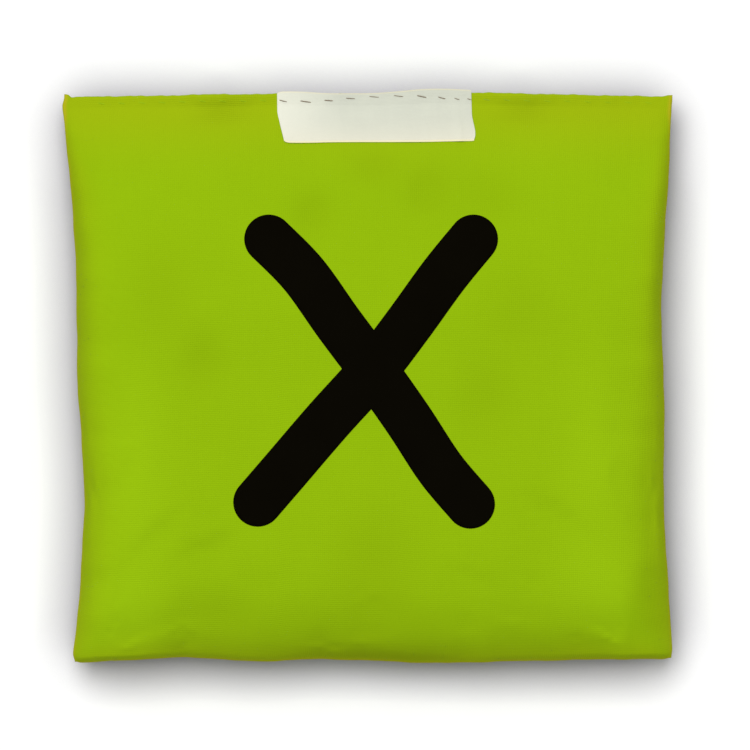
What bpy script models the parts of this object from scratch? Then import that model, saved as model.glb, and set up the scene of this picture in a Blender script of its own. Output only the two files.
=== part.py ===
"""Toss bean bag, in metres with +Z up.

The bag lies on its back panel, with its label toward +Y. Two cloth panels are sewn together along
the left, bottom and right sides, turned right side out and filled with loose pellets. The top is
closed by one visible row of lockstitch, which also catches a tape label. A cross is printed on the
front. The origin is on the ground, under the middle of the outline.
"""

import math

import bmesh
import bpy
from mathutils import Vector
from mathutils.geometry import delaunay_2d_cdt

# Cover outline, from fold to fold
TOP_WIDTH = 0.1200
BOTTOM_WIDTH = 0.1176
BOTTOM_SHIFT = 0.0011
COVER_HEIGHT = 0.1105
SIDE_PULL = 0.0025
TOP_BOW = 0.0010
BOTTOM_BOW = 0.0010

# How far each edge follows its pull or bow, at even steps, from the top down and from the left
LEFT_PULL_SHARES = (0, 0.22, 0.54, 0.68, 0.64, 0.57, 0.86, 1, 0.74, 0.37, 0)
RIGHT_PULL_SHARES = (0, 0.28, 0.46, 0.80, 0.90, 0.69, 0.65, 0.64, 0.55, 0.25, 0)
TOP_BOW_SHARES = (0.2, 0.2, 0.4, 0.55, 0.7, 0.85, 0.95, 0.95, 0.55, 0.2, 0)
BOTTOM_BOW_SHARES = (0.85, 0.25, 0.05, 0.5, 0.25, 0.65, 1, 0.7, 0.45, 0.25, 0.25)

# Cloth and the way it is folded at the seams
CLOTH = 0.00035
CREASE = 0.00036
SEAM_GAP = 0.0003
ALLOWANCE = 0.008
CLIPPED_STUB = 0.0006
FOLD_STEPS = 4

# The swell of the filled bag
SEAM_HEIGHT = 0.0080
CORNER_DROOP = 0.0020
DROOP_POWER = 3
LOFT = 0.0108
CROWN_REACH = 0.0420
CROWN_POWER = 2.0
SHOULDER_POWER = 2.4
LEFT_SHOULDER = 0.0100
LEFT_SHOULDER_SHARE = 0.85
RIGHT_SHOULDER_TOP = 0.0100
RIGHT_SHOULDER_BOTTOM = 0.0150
RIGHT_SHOULDER_SHARE = 0.65
BOTTOM_SHOULDER = 0.0105
BOTTOM_SHOULDER_SPREAD = 0.0245
BOTTOM_SHOULDER_SHARE = 0.85
TOP_REACH = 0.0420
TOP_POWER = 1.8
DOME_SHARE = 0.08
REST_SHARE = 0.85
BELLY_POWER = 1.3

# How much wider the bottom shoulder is than at its steepest, at even steps from the left
BOTTOM_SPREAD_SHARES = (1, 1, 0.5, 0.25, 0.08, 0.04, 0.03, 0.3, 0.4, 0.75, 1)

# Mesh stations across and down a panel
COLUMNS = 22
ROWS = 18
CROWDING_SHARE = 0.55

# Pellet charge
FILL_GAP = 0.0008
FILL_SIDE_INSET = 0.0046
FILL_BOTTOM_INSET = 0.0052
FILL_TOP_INSET = 0.0075
FILL_ROUND_SHARE = 0.35
FILL_COLUMNS = 18
FILL_ROWS = 16

# Sewing thread and the stitches that close the top
THREAD = 0.00018
THREAD_GAP = 0.00008
STITCH_INSET = 0.0014
STITCH_PITCH = 0.0040
STITCH_START = 0.0055
STITCH_END = 0.0025
LAND_BELOW_STITCH = 0.0010
LOOP_HALF_WIDTH = 0.00024
LOOP_OVERLAP = 0.0002
THREAD_TAIL = 0.0012
NEEDLE_HOLE = 0.00092
NEEDLE_HOLE_SIDES = 6
CUTTER_OVERRUN = 0.0006
WHOLE_STITCH_SHARE = 0.01

# Tape label
LABEL_LEFT = -0.0178
LABEL_WIDTH = 0.0383
LABEL_LENGTH = 0.0104
LABEL_OVERHANG = 0.0007
LABEL_LEFT_LEAN = 0.0016
LABEL_RIGHT_LEAN = 0.0008
LABEL_GAP = 0.00015
TAPE = 0.00025
HEADING_BELOW_STITCH = 0.00075
FLAP_GAP = 0.00015
HINGE_LIFT = 0.0001
LABEL_COLUMNS = 10
FLAP_ROWS = 4

# Printed cross
CROSS_WIDTH = 0.0519
CROSS_HEIGHT = 0.0616
CROSS_STROKE = 0.0096
CROSS_X = -0.0004
CROSS_Y = 0.0008
INK = 0.00012
INK_GAP = 0.0002
STROKE_STEPS = 14
STROKE_END_STEPS = 8
OUTLINE_TOLERANCE = 0.0000004
FALLING_STROKE_SHARES = (
    (-0.90, 1), (-0.60, 0.72), (-0.25, 0.36), (0.08, 0), (0.40, -0.37), (0.71, -0.73), (0.97, -1),
)
RISING_STROKE_SHARES = (
    (1, 1), (0.72, 0.72), (0.40, 0.36), (0.07, 0.01), (-0.35, -0.37), (-0.73, -0.73), (-1, -0.985),
)

# Sizes that follow from the ones above
FOLD_RADIUS = CLOTH + CREASE / 2
THREAD_RADIUS = THREAD / 2
LAND = STITCH_INSET + LAND_BELOW_STITCH
LABEL_MIDDLE_SHARE = (LABEL_LEFT + LABEL_WIDTH / 2) / TOP_WIDTH + 0.5


def along(shares, t):
    """The smooth curve through evenly spaced shares, read at t from 0 to 1."""
    last = len(shares) - 1
    place = min(max(t, 0), 1) * last
    start = min(int(place), last - 1)
    f = place - start
    a, b, c, d = (shares[min(max(k, 0), last)] for k in range(start - 1, start + 3))
    return b + f / 2 * (c - a + f * (2 * a - 5 * b + 4 * c - d + f * (3 * (b - c) + d - a)))


def mix(a, b, share):
    """The value that lies this share of the way from a to b."""
    return a + (b - a) * share


# The corners' height on the page is set so that the whole outline, label included, is centred
LABEL_EDGE_BOW = TOP_BOW * along(TOP_BOW_SHARES, LABEL_MIDDLE_SHARE)
LOWEST_BOW = BOTTOM_BOW * max(BOTTOM_BOW_SHARES)
CORNER_Y = (COVER_HEIGHT + LOWEST_BOW - LABEL_EDGE_BOW - LABEL_OVERHANG) / 2
LABEL_TOP_Y = CORNER_Y + LABEL_EDGE_BOW + LABEL_OVERHANG


def left_edge(v):
    """X of the left fold, v of the way down."""
    return mix(-TOP_WIDTH / 2, BOTTOM_SHIFT - BOTTOM_WIDTH / 2, v) + SIDE_PULL * along(LEFT_PULL_SHARES, v)


def right_edge(v):
    """X of the right fold, v of the way down."""
    return mix(TOP_WIDTH / 2, BOTTOM_SHIFT + BOTTOM_WIDTH / 2, v) - SIDE_PULL * along(RIGHT_PULL_SHARES, v)


def top_edge(u):
    """Y of the top fold, u of the way across."""
    return CORNER_Y + TOP_BOW * along(TOP_BOW_SHARES, u)


def bottom_edge(u):
    """Y of the bottom fold, u of the way across."""
    return CORNER_Y - COVER_HEIGHT - BOTTOM_BOW * along(BOTTOM_BOW_SHARES, u)


def place(u, v, side, top, bottom):
    """(x, y) at the shares u, v of the outline drawn in by these distances."""
    x = mix(left_edge(v) + side, right_edge(v) - side, u)
    y = mix(top_edge(u) - top, bottom_edge(u) + bottom, v)
    return x, y


def shares_at(x, y):
    """(u, v) of a place on the bag."""
    v = (CORNER_Y - y) / COVER_HEIGHT
    u = (x - left_edge(v)) / (right_edge(v) - left_edge(v))
    return u, (top_edge(u) - y) / (top_edge(u) - bottom_edge(u))


def rise(distance, reach, power):
    """How far the cloth has risen, from 0 at its edge to 1 at its reach."""
    return 1 - (1 - min(max(distance / reach, 0), 1)) ** power


def swell(distance, shoulder, share):
    """How far the cloth has risen inside a side or bottom fold: a steep shoulder, then a gentle crown."""
    inside = distance - FOLD_RADIUS
    return mix(rise(inside, CROWN_REACH, CROWN_POWER), rise(inside, shoulder, SHOULDER_POWER), share)


def fullness(x, y):
    """How full the bag is at a place, from 0 at the seams to 1."""
    u, v = shares_at(x, y)
    right_shoulder = mix(RIGHT_SHOULDER_TOP, RIGHT_SHOULDER_BOTTOM, min(max(v, 0), 1))
    bottom_shoulder = BOTTOM_SHOULDER + BOTTOM_SHOULDER_SPREAD * along(BOTTOM_SPREAD_SHARES, u)
    return (
        swell(x - left_edge(v), LEFT_SHOULDER, LEFT_SHOULDER_SHARE)
        * swell(right_edge(v) - x, right_shoulder, RIGHT_SHOULDER_SHARE)
        * swell(y - bottom_edge(u), bottom_shoulder, BOTTOM_SHOULDER_SHARE)
        * rise(top_edge(u) - LAND - y, TOP_REACH, TOP_POWER)
    )


def seam_height(x, y):
    """Z of the plane where the two panels meet, which droops toward the corners."""
    u, v = shares_at(x, y)
    corner = abs((2 * u - 1) * (2 * v - 1))
    return SEAM_HEIGHT - CORNER_DROOP * min(corner, 1) ** DROOP_POWER


def front_height(x, y):
    """Z of the front panel's outer face."""
    u, v = shares_at(x, y)
    dome = 1 - DOME_SHARE * ((2 * u - 1) ** 2 + (2 * v - 1) ** 2) / 2
    return seam_height(x, y) + SEAM_GAP / 2 + 2 * FOLD_RADIUS + LOFT * dome * fullness(x, y)


def back_height(x, y):
    """Z of the back panel's outer face, zero where the bag rests."""
    hem = seam_height(x, y) - SEAM_GAP / 2 - 2 * FOLD_RADIUS
    return hem * max(0, 1 - fullness(x, y) / REST_SHARE) ** BELLY_POWER


def graded(count):
    """Shares from 0 to 1 that lie closer together toward both ends."""
    turns = [math.tau * k / count for k in range(count + 1)]
    return [(turn - CROWDING_SHARE * math.sin(turn)) / math.tau for turn in turns]


# Stations of a panel's mesh: one row lies at the end of the flat land along the hem
LAND_SHARE = (LAND - FOLD_RADIUS) / (COVER_HEIGHT - 2 * FOLD_RADIUS)
COLUMN_SHARES = graded(COLUMNS)
ROW_SHARES = [0] + [mix(LAND_SHARE, 1, share) for share in graded(ROWS - 1)]


def rim(columns, rows):
    """Places (column, row) round a grid's edge, clockwise from its top left corner."""
    top = [(i, 0) for i in range(columns)]
    right = [(columns, j) for j in range(rows)]
    bottom = [(i, rows) for i in range(columns, 0, -1)]
    left = [(0, j) for j in range(rows, 0, -1)]
    return top + right + bottom + left


def outward(i, j, columns, rows):
    """The direction out of the grid at a rim place; at a corner it points out of both edges."""
    return Vector(((i == columns) - (i == 0), (j == 0) - (j == rows), 0))


def grid_faces(mesh, grid):
    """Quads between the rows of a grid of vertices."""
    for upper, lower in zip(grid, grid[1:]):
        for i in range(len(upper) - 1):
            mesh.faces.new((upper[i], lower[i], lower[i + 1], upper[i + 1]))


def band_faces(mesh, chains):
    """Quads round a closed run of chains, each a list of vertices from one rim place."""
    for here, there in zip(chains, chains[1:] + chains[:1]):
        for k in range(len(here) - 1):
            mesh.faces.new((here[k], there[k], there[k + 1], here[k + 1]))


def material(name, colour, roughness):
    """A plain finish in this colour."""
    made = bpy.data.materials.new(name)
    made.use_nodes = True
    shader = made.node_tree.nodes["Principled BSDF"]
    shader.inputs["Base Color"].default_value = (*colour, 1)
    shader.inputs["Roughness"].default_value = roughness
    return made


def add_object(name, data, finish):
    """Links a mesh or a curve to the scene under its own finish."""
    made = bpy.data.objects.new(name, data)
    data.materials.append(finish)
    bpy.context.scene.collection.objects.link(made)
    return made


def finished_mesh(name, mesh, up=0):
    """Turns a bmesh into a smooth mesh, with its first face toward up, or facing out where up is 0."""
    bmesh.ops.recalc_face_normals(mesh, faces=mesh.faces[:])
    mesh.faces.ensure_lookup_table()
    if up and mesh.faces[0].normal.z * up < 0:
        bmesh.ops.reverse_faces(mesh, faces=mesh.faces[:])
    data = bpy.data.meshes.new(name)
    mesh.to_mesh(data)
    mesh.free()
    data.shade_smooth()
    return data


def thicken(target, thickness, direction):
    """Gives a sheet its thickness, toward its faces' side for 1 and behind them for -1."""
    solidify = target.modifiers.new("Cloth", "SOLIDIFY")
    solidify.thickness = thickness
    solidify.offset = direction
    solidify.use_even_offset = True


def cut(target, cutter):
    """Cuts the needle holes through a sheet, which keeps an even shading round them."""
    hole = target.modifiers.new("Needle holes", "BOOLEAN")
    hole.operation = "DIFFERENCE"
    hole.object = cutter
    hole.solver = "EXACT"
    target.modifiers.new("Even shading", "WEIGHTED_NORMAL")


def panel(name, side, finish):
    """One cloth panel with its folded seam allowances. The side is 1 for the front, -1 for the back."""
    height = front_height if side > 0 else back_height
    mesh = bmesh.new()
    grid = []
    for v in ROW_SHARES:
        places = [place(u, v, FOLD_RADIUS, FOLD_RADIUS, FOLD_RADIUS) for u in COLUMN_SHARES]
        grid.append([mesh.verts.new((x, y, height(x, y))) for x, y in places])
    grid_faces(mesh, grid)
    corners = [grid[j][i].co.copy() for i in (0, -1) for j in (0, -1)]
    chains = []
    for i, j in rim(COLUMNS, ROWS):
        edge = grid[j][i].co
        away = outward(i, j, COLUMNS, ROWS)
        seam = seam_height(edge.x, edge.y) + side * SEAM_GAP / 2
        centre = Vector((edge.x, edge.y, seam + side * FOLD_RADIUS))
        chain = [grid[j][i]]
        for step in range(1, FOLD_STEPS + 1):
            turn = math.pi * step / FOLD_STEPS
            bend = away * math.sin(turn) + Vector((0, 0, side * math.cos(turn)))
            chain.append(mesh.verts.new(centre + bend * FOLD_RADIUS))
        to_corner = min((edge - corner).length for corner in corners)
        depth = min(ALLOWANCE, max(CLIPPED_STUB, to_corner - CLIPPED_STUB))
        chain.append(mesh.verts.new(chain[-1].co - away * depth))
        chains.append(chain)
    band_faces(mesh, chains)
    made = add_object(name, finished_mesh(name, mesh, side), finish)
    thicken(made, CLOTH, -1)
    return made


def fill_place(s, t, side, top, bottom):
    """(x, y) in the pellet charge, where s and t run from -1 to 1 and the corners are rounded."""
    across = s * math.sqrt(1 - FILL_ROUND_SHARE * t * t / 2)
    down = t * math.sqrt(1 - FILL_ROUND_SHARE * s * s / 2)
    return place((1 + across) / 2, (1 + down) / 2, side, top, bottom)


def pellet_fill(finish):
    """The pellet charge as one solid, with a slot all round for the turned-in seam allowances."""
    mesh = bmesh.new()
    insets = (FILL_SIDE_INSET, FILL_TOP_INSET, FILL_BOTTOM_INSET)
    slot_inset = FOLD_RADIUS + ALLOWANCE + FILL_GAP
    skin = CLOTH + FILL_GAP
    crown, belly, spots = [], [], []
    for j in range(FILL_ROWS + 1):
        t = 2 * j / FILL_ROWS - 1
        spots.append([2 * i / FILL_COLUMNS - 1 for i in range(FILL_COLUMNS + 1)])
        places = [fill_place(s, t, *insets) for s in spots[-1]]
        crown.append([mesh.verts.new((x, y, front_height(x, y) - skin)) for x, y in places])
        belly.append([mesh.verts.new((x, y, back_height(x, y) + skin)) for x, y in places])
    grid_faces(mesh, crown)
    grid_faces(mesh, belly)
    chains = []
    for i, j in rim(FILL_COLUMNS, FILL_ROWS):
        x, y = crown[j][i].co.xy
        t = 2 * j / FILL_ROWS - 1
        inner_x, inner_y = fill_place(spots[j][i], t, slot_inset, slot_inset, slot_inset)
        seam = seam_height(x, y)
        chain = [crown[j][i]]
        for side in (1, -1):
            level = seam + side * (SEAM_GAP / 2 + skin)
            lips = [(x, y, level), (inner_x, inner_y, level)]
            chain += [mesh.verts.new(lip) for lip in lips[::side]]
        chain.append(belly[j][i])
        chains.append(chain)
    band_faces(mesh, chains)
    return add_object("pellet_fill", finished_mesh("pellet_fill", mesh), finish)


def tube(name, points, finish):
    """One thread along these points."""
    data = bpy.data.curves.new(name, "CURVE")
    data.dimensions = "3D"
    data.bevel_depth = THREAD_RADIUS
    data.bevel_resolution = 0
    data.use_fill_caps = True
    spline = data.splines.new("POLY")
    spline.points.add(len(points) - 1)
    for point, at in zip(spline.points, points):
        point.co = (*at, 1)
    return add_object(name, data, finish)


def seam_thread(name, side, finish):
    """The thread in one panel's crease, down the left seam, along the bottom and up the right."""
    inset = FOLD_RADIUS + THREAD
    shares = [(0, v) for v in ROW_SHARES[2:]]
    shares += [(u, 1) for u in COLUMN_SHARES[1:]]
    shares += [(1, v) for v in ROW_SHARES[-2:1:-1]]
    points = []
    for u, v in shares:
        x, y = place(u, v, inset, FOLD_RADIUS, inset)
        points.append((x, y, seam_height(x, y) + side * (SEAM_GAP / 2 + FOLD_RADIUS)))
    return tube(name, points, finish)


def needle_places():
    """(x, y) of the needle holes along the hem."""
    run = TOP_WIDTH - STITCH_START - STITCH_END
    count = int(run / STITCH_PITCH + WHOLE_STITCH_SHARE) + 1
    places = []
    for k in range(count):
        x = STITCH_START - TOP_WIDTH / 2 + k * STITCH_PITCH
        places.append((x, stitch_y(x)))
    return places


def stitch_y(x):
    """Y of the closing stitch line at this x."""
    return top_edge(x / TOP_WIDTH + 0.5) - STITCH_INSET


def label_side(x_at_top, lean, y):
    """X of one of the label's cut ends at this y."""
    return x_at_top + lean * (LABEL_TOP_Y - y) / LABEL_LENGTH


def label_span(y):
    """X of the label's left and right ends at this y."""
    left = label_side(LABEL_LEFT, LABEL_LEFT_LEAN, y)
    right = label_side(LABEL_LEFT + LABEL_WIDTH, LABEL_RIGHT_LEAN, y)
    return left, right


def label_height(x, y):
    """Z of the label's lower face."""
    return front_height(x, y) + LABEL_GAP


def needle_level(x, y):
    """Z of the needle thread on the front, over the label or beside it."""
    left, right = label_span(y)
    covered = left - THREAD <= x <= right + THREAD
    surface = label_height(x, y) + TAPE if covered else front_height(x, y)
    return surface + THREAD_GAP + THREAD_RADIUS


def bobbin_level(x, y):
    """Z of the bobbin thread on the back."""
    return back_height(x, y) - THREAD_GAP - THREAD_RADIUS


def stitch_run(start, end, level):
    """Points of one stitch, which steps up or down beside each end of the label that it crosses."""
    points = [start]
    for edge, out in zip(label_span(start[1]), (-1, 1)):
        if not start[0] < edge < end[0]:
            continue
        for reach in (2 * THREAD, THREAD / 2)[::-out]:
            x = edge + out * reach
            points.append((x, mix(start[1], end[1], (x - start[0]) / (end[0] - start[0]))))
    points.append(end)
    return [(x, y, level(x, y)) for x, y in points]


def closing_thread(name, side, finish):
    """One of the two closing threads. Their loops catch each other halfway through the hem."""
    level = needle_level if side > 0 else bobbin_level
    half = Vector((0, LOOP_HALF_WIDTH)) if side > 0 else Vector((LOOP_HALF_WIDTH, 0))
    holes = [Vector(spot) for spot in needle_places()]
    tail = Vector((THREAD_TAIL, 0))
    points = []
    leaving = holes[0] - half - tail
    for hole in holes:
        points += stitch_run(tuple(leaving), tuple(hole - half), level)
        tip = seam_height(*hole) - side * LOOP_OVERLAP
        points += [(*(hole - half), tip), (*(hole + half), tip)]
        leaving = hole + half
    points += stitch_run(tuple(leaving), tuple(leaving + tail), level)
    return tube(name, points, finish)


def needle_hole_cutter():
    """One prism through the whole hem for each needle hole."""
    mesh = bmesh.new()
    for x, y in needle_places():
        low = bobbin_level(x, y) - CUTTER_OVERRUN
        high = label_height(x, y) + TAPE + CUTTER_OVERRUN
        made = bmesh.ops.create_cone(
            mesh,
            cap_ends=True,
            segments=NEEDLE_HOLE_SIDES,
            radius1=NEEDLE_HOLE / 2,
            radius2=NEEDLE_HOLE / 2,
            depth=high - low,
        )
        bmesh.ops.translate(mesh, verts=made["verts"], vec=(x, y, (low + high) / 2))
    data = bpy.data.meshes.new("needle_hole_cutter")
    mesh.to_mesh(data)
    mesh.free()
    cutter = bpy.data.objects.new("needle_hole_cutter", data)
    bpy.context.scene.collection.objects.link(cutter)
    cutter.hide_render = True
    cutter.display_type = "WIRE"
    return cutter


def label_sheet(name, rows, origin, finish):
    """A stretch of the label tape between its rows' y values, with its object at this origin."""
    mesh = bmesh.new()
    grid = []
    for y in rows:
        left, right = label_span(y)
        xs = [mix(left, right, i / LABEL_COLUMNS) for i in range(LABEL_COLUMNS + 1)]
        grid.append([mesh.verts.new(Vector((x, y, label_height(x, y))) - origin) for x in xs])
    grid_faces(mesh, grid)
    made = add_object(name, finished_mesh(name, mesh, 1), finish)
    made.location = origin
    thicken(made, TAPE, 1)
    return made


def label(finish, cutter):
    """The label: a heading held under the stitches, and a flap that lifts about the stitch line."""
    x = LABEL_LEFT + LABEL_WIDTH / 2
    stitch = stitch_y(x)
    heading_end = stitch - HEADING_BELOW_STITCH
    flap_start = heading_end - FLAP_GAP
    flap_end = LABEL_TOP_Y - LABEL_LENGTH
    flap_rows = [mix(flap_start, flap_end, k / FLAP_ROWS) for k in range(FLAP_ROWS + 1)]
    hinge = Vector((x, stitch, label_height(x, stitch) + TAPE + HINGE_LIFT))
    heading = label_sheet("label_heading", [LABEL_TOP_Y, stitch, heading_end], Vector(), finish)
    cut(heading, cutter)
    label_sheet("label_flap", flap_rows, hinge, finish)


def stroke_outline(shares):
    """Points round one stroke of the cross, with round ends."""
    reach_x = (CROSS_WIDTH - CROSS_STROKE) / 2
    reach_y = (CROSS_HEIGHT - CROSS_STROKE) / 2
    xs = [share[0] for share in shares]
    ys = [share[1] for share in shares]
    line = []
    for step in range(STROKE_STEPS + 1):
        t = step / STROKE_STEPS
        line.append(Vector((CROSS_X + reach_x * along(xs, t), CROSS_Y + reach_y * along(ys, t))))
    left, right = [], []
    for k, spot in enumerate(line):
        way = (line[min(k + 1, STROKE_STEPS)] - line[max(k - 1, 0)]).normalized()
        aside = Vector((-way.y, way.x)) * CROSS_STROKE / 2
        left.append(spot + aside)
        right.append(spot - aside)

    def round_end(centre, start):
        """Points of the half circle from start, turning clockwise."""
        arm = start - centre
        turns = [math.pi * k / STROKE_END_STEPS for k in range(1, STROKE_END_STEPS)]
        return [
            centre + Vector((
                arm.x * math.cos(turn) + arm.y * math.sin(turn),
                arm.y * math.cos(turn) - arm.x * math.sin(turn),
            ))
            for turn in turns
        ]

    return left + round_end(line[-1], left[-1]) + right[::-1] + round_end(line[0], right[0])


def cross_print(finish):
    """The printed cross: one thin layer in the shape of both strokes together."""
    falling = stroke_outline(FALLING_STROKE_SHARES)
    rising = stroke_outline(RISING_STROKE_SHARES)
    loops = [list(range(len(falling))), list(range(len(falling), len(falling) + len(rising)))]
    spots, _, faces, *_ = delaunay_2d_cdt(falling + rising, [], loops, 1, OUTLINE_TOLERANCE)
    mesh = bmesh.new()
    verts = [mesh.verts.new((x, y, front_height(x, y) + INK_GAP)) for x, y in spots]
    for face in faces:
        mesh.faces.new([verts[k] for k in face])
    made = add_object("cross_print", finished_mesh("cross_print", mesh, 1), finish)
    thicken(made, INK, 1)
    return made


def main():
    """Clears the scene and makes the bag."""
    for old in list(bpy.data.objects):
        bpy.data.objects.remove(old)
    cloth = material("lime_cotton", (0.295, 0.497, 0.006), 0.85)
    back_cloth = material("lime_cotton_back", (0.270, 0.455, 0.006), 0.85)
    pellets = material("pellets", (0.72, 0.72, 0.68), 0.5)
    tape = material("satin_tape", (0.70, 0.70, 0.60), 0.6)
    dark_thread = material("dark_thread", (0.10, 0.045, 0.03), 0.7)
    lime_thread = material("lime_thread", (0.25, 0.42, 0.01), 0.7)
    ink = material("black_ink", (0.004, 0.004, 0.004), 0.55)

    cutter = needle_hole_cutter()
    front = panel("front_panel", 1, cloth)
    back = panel("back_panel", -1, back_cloth)
    cut(front, cutter)
    cut(back, cutter)
    pellet_fill(pellets)
    seam_thread("seam_needle_thread", 1, lime_thread)
    seam_thread("seam_bobbin_thread", -1, lime_thread)
    closing_thread("closing_needle_thread", 1, dark_thread)
    closing_thread("closing_bobbin_thread", -1, dark_thread)
    label(tape, cutter)
    cross_print(ink)


main()
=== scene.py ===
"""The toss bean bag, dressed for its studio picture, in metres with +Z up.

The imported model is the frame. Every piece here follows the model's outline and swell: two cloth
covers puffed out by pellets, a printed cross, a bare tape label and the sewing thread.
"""

import logging
import math
from dataclasses import dataclass
from enum import Enum
from functools import cached_property

import bmesh
import bpy
import numpy as np
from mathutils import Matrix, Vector
from mathutils.geometry import delaunay_2d_cdt
from mathutils.kdtree import KDTree


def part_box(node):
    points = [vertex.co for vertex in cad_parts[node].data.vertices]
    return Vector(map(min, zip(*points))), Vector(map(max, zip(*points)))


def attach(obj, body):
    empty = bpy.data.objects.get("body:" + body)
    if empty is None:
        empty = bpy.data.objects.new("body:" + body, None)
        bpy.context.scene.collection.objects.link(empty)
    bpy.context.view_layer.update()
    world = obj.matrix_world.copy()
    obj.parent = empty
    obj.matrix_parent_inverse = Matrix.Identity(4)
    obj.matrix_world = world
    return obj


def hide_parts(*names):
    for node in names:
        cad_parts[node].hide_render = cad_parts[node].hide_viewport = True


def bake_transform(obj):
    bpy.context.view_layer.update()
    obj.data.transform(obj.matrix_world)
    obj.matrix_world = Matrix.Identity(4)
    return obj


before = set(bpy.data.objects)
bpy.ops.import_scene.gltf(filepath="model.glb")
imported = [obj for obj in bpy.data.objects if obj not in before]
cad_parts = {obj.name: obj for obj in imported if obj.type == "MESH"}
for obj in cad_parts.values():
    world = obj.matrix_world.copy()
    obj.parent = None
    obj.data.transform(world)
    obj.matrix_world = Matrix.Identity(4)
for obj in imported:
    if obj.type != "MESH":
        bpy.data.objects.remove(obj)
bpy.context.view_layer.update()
COVER_BODY = "cover"
CUT_PLACE = "cut_place"
FOLD_NEARNESS = "fold_nearness"
OVER_LABEL = "over_label"
EDGE_WARMTH = "edge_warmth"
PAINTED_SHADE_AND_LIGHT = "hollow"
log = logging.getLogger("toss_bean_bag")

Array = np.ndarray
Shares = tuple[float, ...]
Colour = tuple[float, float, float]


class Side(Enum):
    """The two faces of the bag. The value is the way that the face looks, up or down."""

    FRONT = 1
    BACK = -1


# Reading curves and grids


def mix(a: Array, b: Array, share: Array) -> Array:
    """The value that lies this share of the way from a to b."""
    return a + (b - a) * share


def cubic_weights(f: Array) -> tuple[Array, Array, Array, Array]:
    """Weighs the four stations round a place.

    Args:
        f: How far the place lies between the middle two, from 0 to 1.

    Returns:
        The four weights, in the stations' order.
    """
    return (
        f * (f * (2 - f) - 1) / 2,
        (f * f * (3 * f - 5) + 2) / 2,
        f * (f * (4 - 3 * f) + 1) / 2,
        f * f * (f - 1) / 2,
    )


def along(shares: Shares, t: Array) -> Array:
    """Reads the smooth curve through evenly spaced shares.

    Args:
        shares: Values at even steps from 0 to 1.
        t: Places to read, from 0 to 1.

    Returns:
        The curve's value at each place.
    """
    table = np.asarray(shares, float)
    last = len(table) - 1
    place = np.clip(t, 0, 1) * last
    start = np.minimum(place.astype(int), last - 1)
    weights = cubic_weights(place - start)
    return sum(w * table[np.clip(start + k - 1, 0, last)] for k, w in enumerate(weights))


def graded(count: int, crowding: float) -> Array:
    """Shares from 0 to 1 that lie closer together toward both ends."""
    turns = np.linspace(0, math.tau, count + 1)
    return (turns - crowding * np.sin(turns)) / math.tau


def smooth_step(value: Array) -> Array:
    """0 below 0, 1 above 1, and a smooth rise between them."""
    t = np.clip(value, 0, 1)
    return t * t * (3 - 2 * t)


class GridField:
    """Vectors held at the stations of a grid and read smoothly between them."""

    def __init__(self, us: Array, vs: Array, values: Array) -> None:
        """Keeps the stations across (us) and down (vs) and the values, indexed [down, across]."""
        self.us = us
        self.vs = vs
        self.values = values

    def at(self, u: Array, v: Array) -> Array:
        """Reads the field.

        Args:
            u: Shares across, of any shape.
            v: Shares down, of the same shape.

        Returns:
            The vectors there, in the shape of u with one more axis.
        """
        i, across = self._cell(u, self.us)
        j, down = self._cell(v, self.vs)
        total = np.zeros(np.shape(u) + self.values.shape[2:])
        for row, weight_down in enumerate(down):
            rows = np.clip(j + row - 1, 0, len(self.vs) - 1)
            for column, weight_across in enumerate(across):
                columns = np.clip(i + column - 1, 0, len(self.us) - 1)
                total += (weight_down * weight_across)[..., None] * self.values[rows, columns]
        return total

    @staticmethod
    def _cell(share: Array, stations: Array) -> tuple[Array, tuple[Array, ...]]:
        """Finds where shares lie among the stations.

        Args:
            share: The shares to look up.
            stations: The stations' own shares, in rising order.

        Returns:
            The station before each share, and the cubic weights of the four round it.
        """
        place = np.interp(share, stations, np.arange(len(stations)))
        start = np.minimum(place.astype(int), len(stations) - 2)
        return start, cubic_weights(place - start)


@dataclass(frozen=True)
class Ripple:
    """A gentle waviness along an edge, as waves of (length, height, share of a turn)."""

    waves: tuple[tuple[float, float, float], ...]

    def at(self, distance: Array) -> Array:
        """The sum of the waves at this distance along the edge."""
        return sum(h * np.sin(math.tau * (distance / length + turn)) for length, h, turn in self.waves)


@dataclass(frozen=True)
class Dent:
    """A soft hollow pressed into the front, or a swelling where its depth is below zero."""

    x: float
    y: float
    across: float
    down: float
    depth: float

    def at(self, x: Array, y: Array) -> Array:
        """How far the cloth moves up at each place."""
        return -self.depth * np.exp(-(((x - self.x) / self.across) ** 2) - ((y - self.y) / self.down) ** 2)


@dataclass(frozen=True)
class CornerTip:
    """A small shift of the outline round the place u, v, at a corner or just beside it."""

    u: float
    v: float
    dx: float
    dy: float
    reach: float


@dataclass(frozen=True)
class Shoulder:
    """The steep part of a swell: how far in it reaches, its share of the rise and how round it is."""

    reach: float
    share: float
    power: float

    def rise(self, distance: Array, gentle: Array) -> Array:
        """The rise at each distance inside the seam, where this gentle rise makes up the rest."""
        return mix(gentle, 1 - (1 - np.clip(distance / self.reach, 0, 1)) ** self.power, self.share)


@dataclass(frozen=True)
class EdgeRise:
    """How the cloth swells up from a seam: a steep shoulder, then a gentle rise."""

    first: Shoulder
    last: Shoulder
    last_shares: Shares = (0, 1)
    gentle_reach: float = 0.042
    gentle_power: float = 2.0

    def at(self, distance: Array, t: Array) -> Array:
        """Reads the rise.

        Args:
            distance: How far each place lies inside the seam.
            t: Shares along the seam, where the last shoulder takes over from the first by its shares.

        Returns:
            The rise, from 0 at the seam to 1.
        """
        gentle = 1 - (1 - np.clip(distance / self.gentle_reach, 0, 1)) ** self.gentle_power
        turn = np.clip(along(self.last_shares, t), 0, 1)
        return mix(self.first.rise(distance, gentle), self.last.rise(distance, gentle), turn)


# The form of the bag


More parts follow.
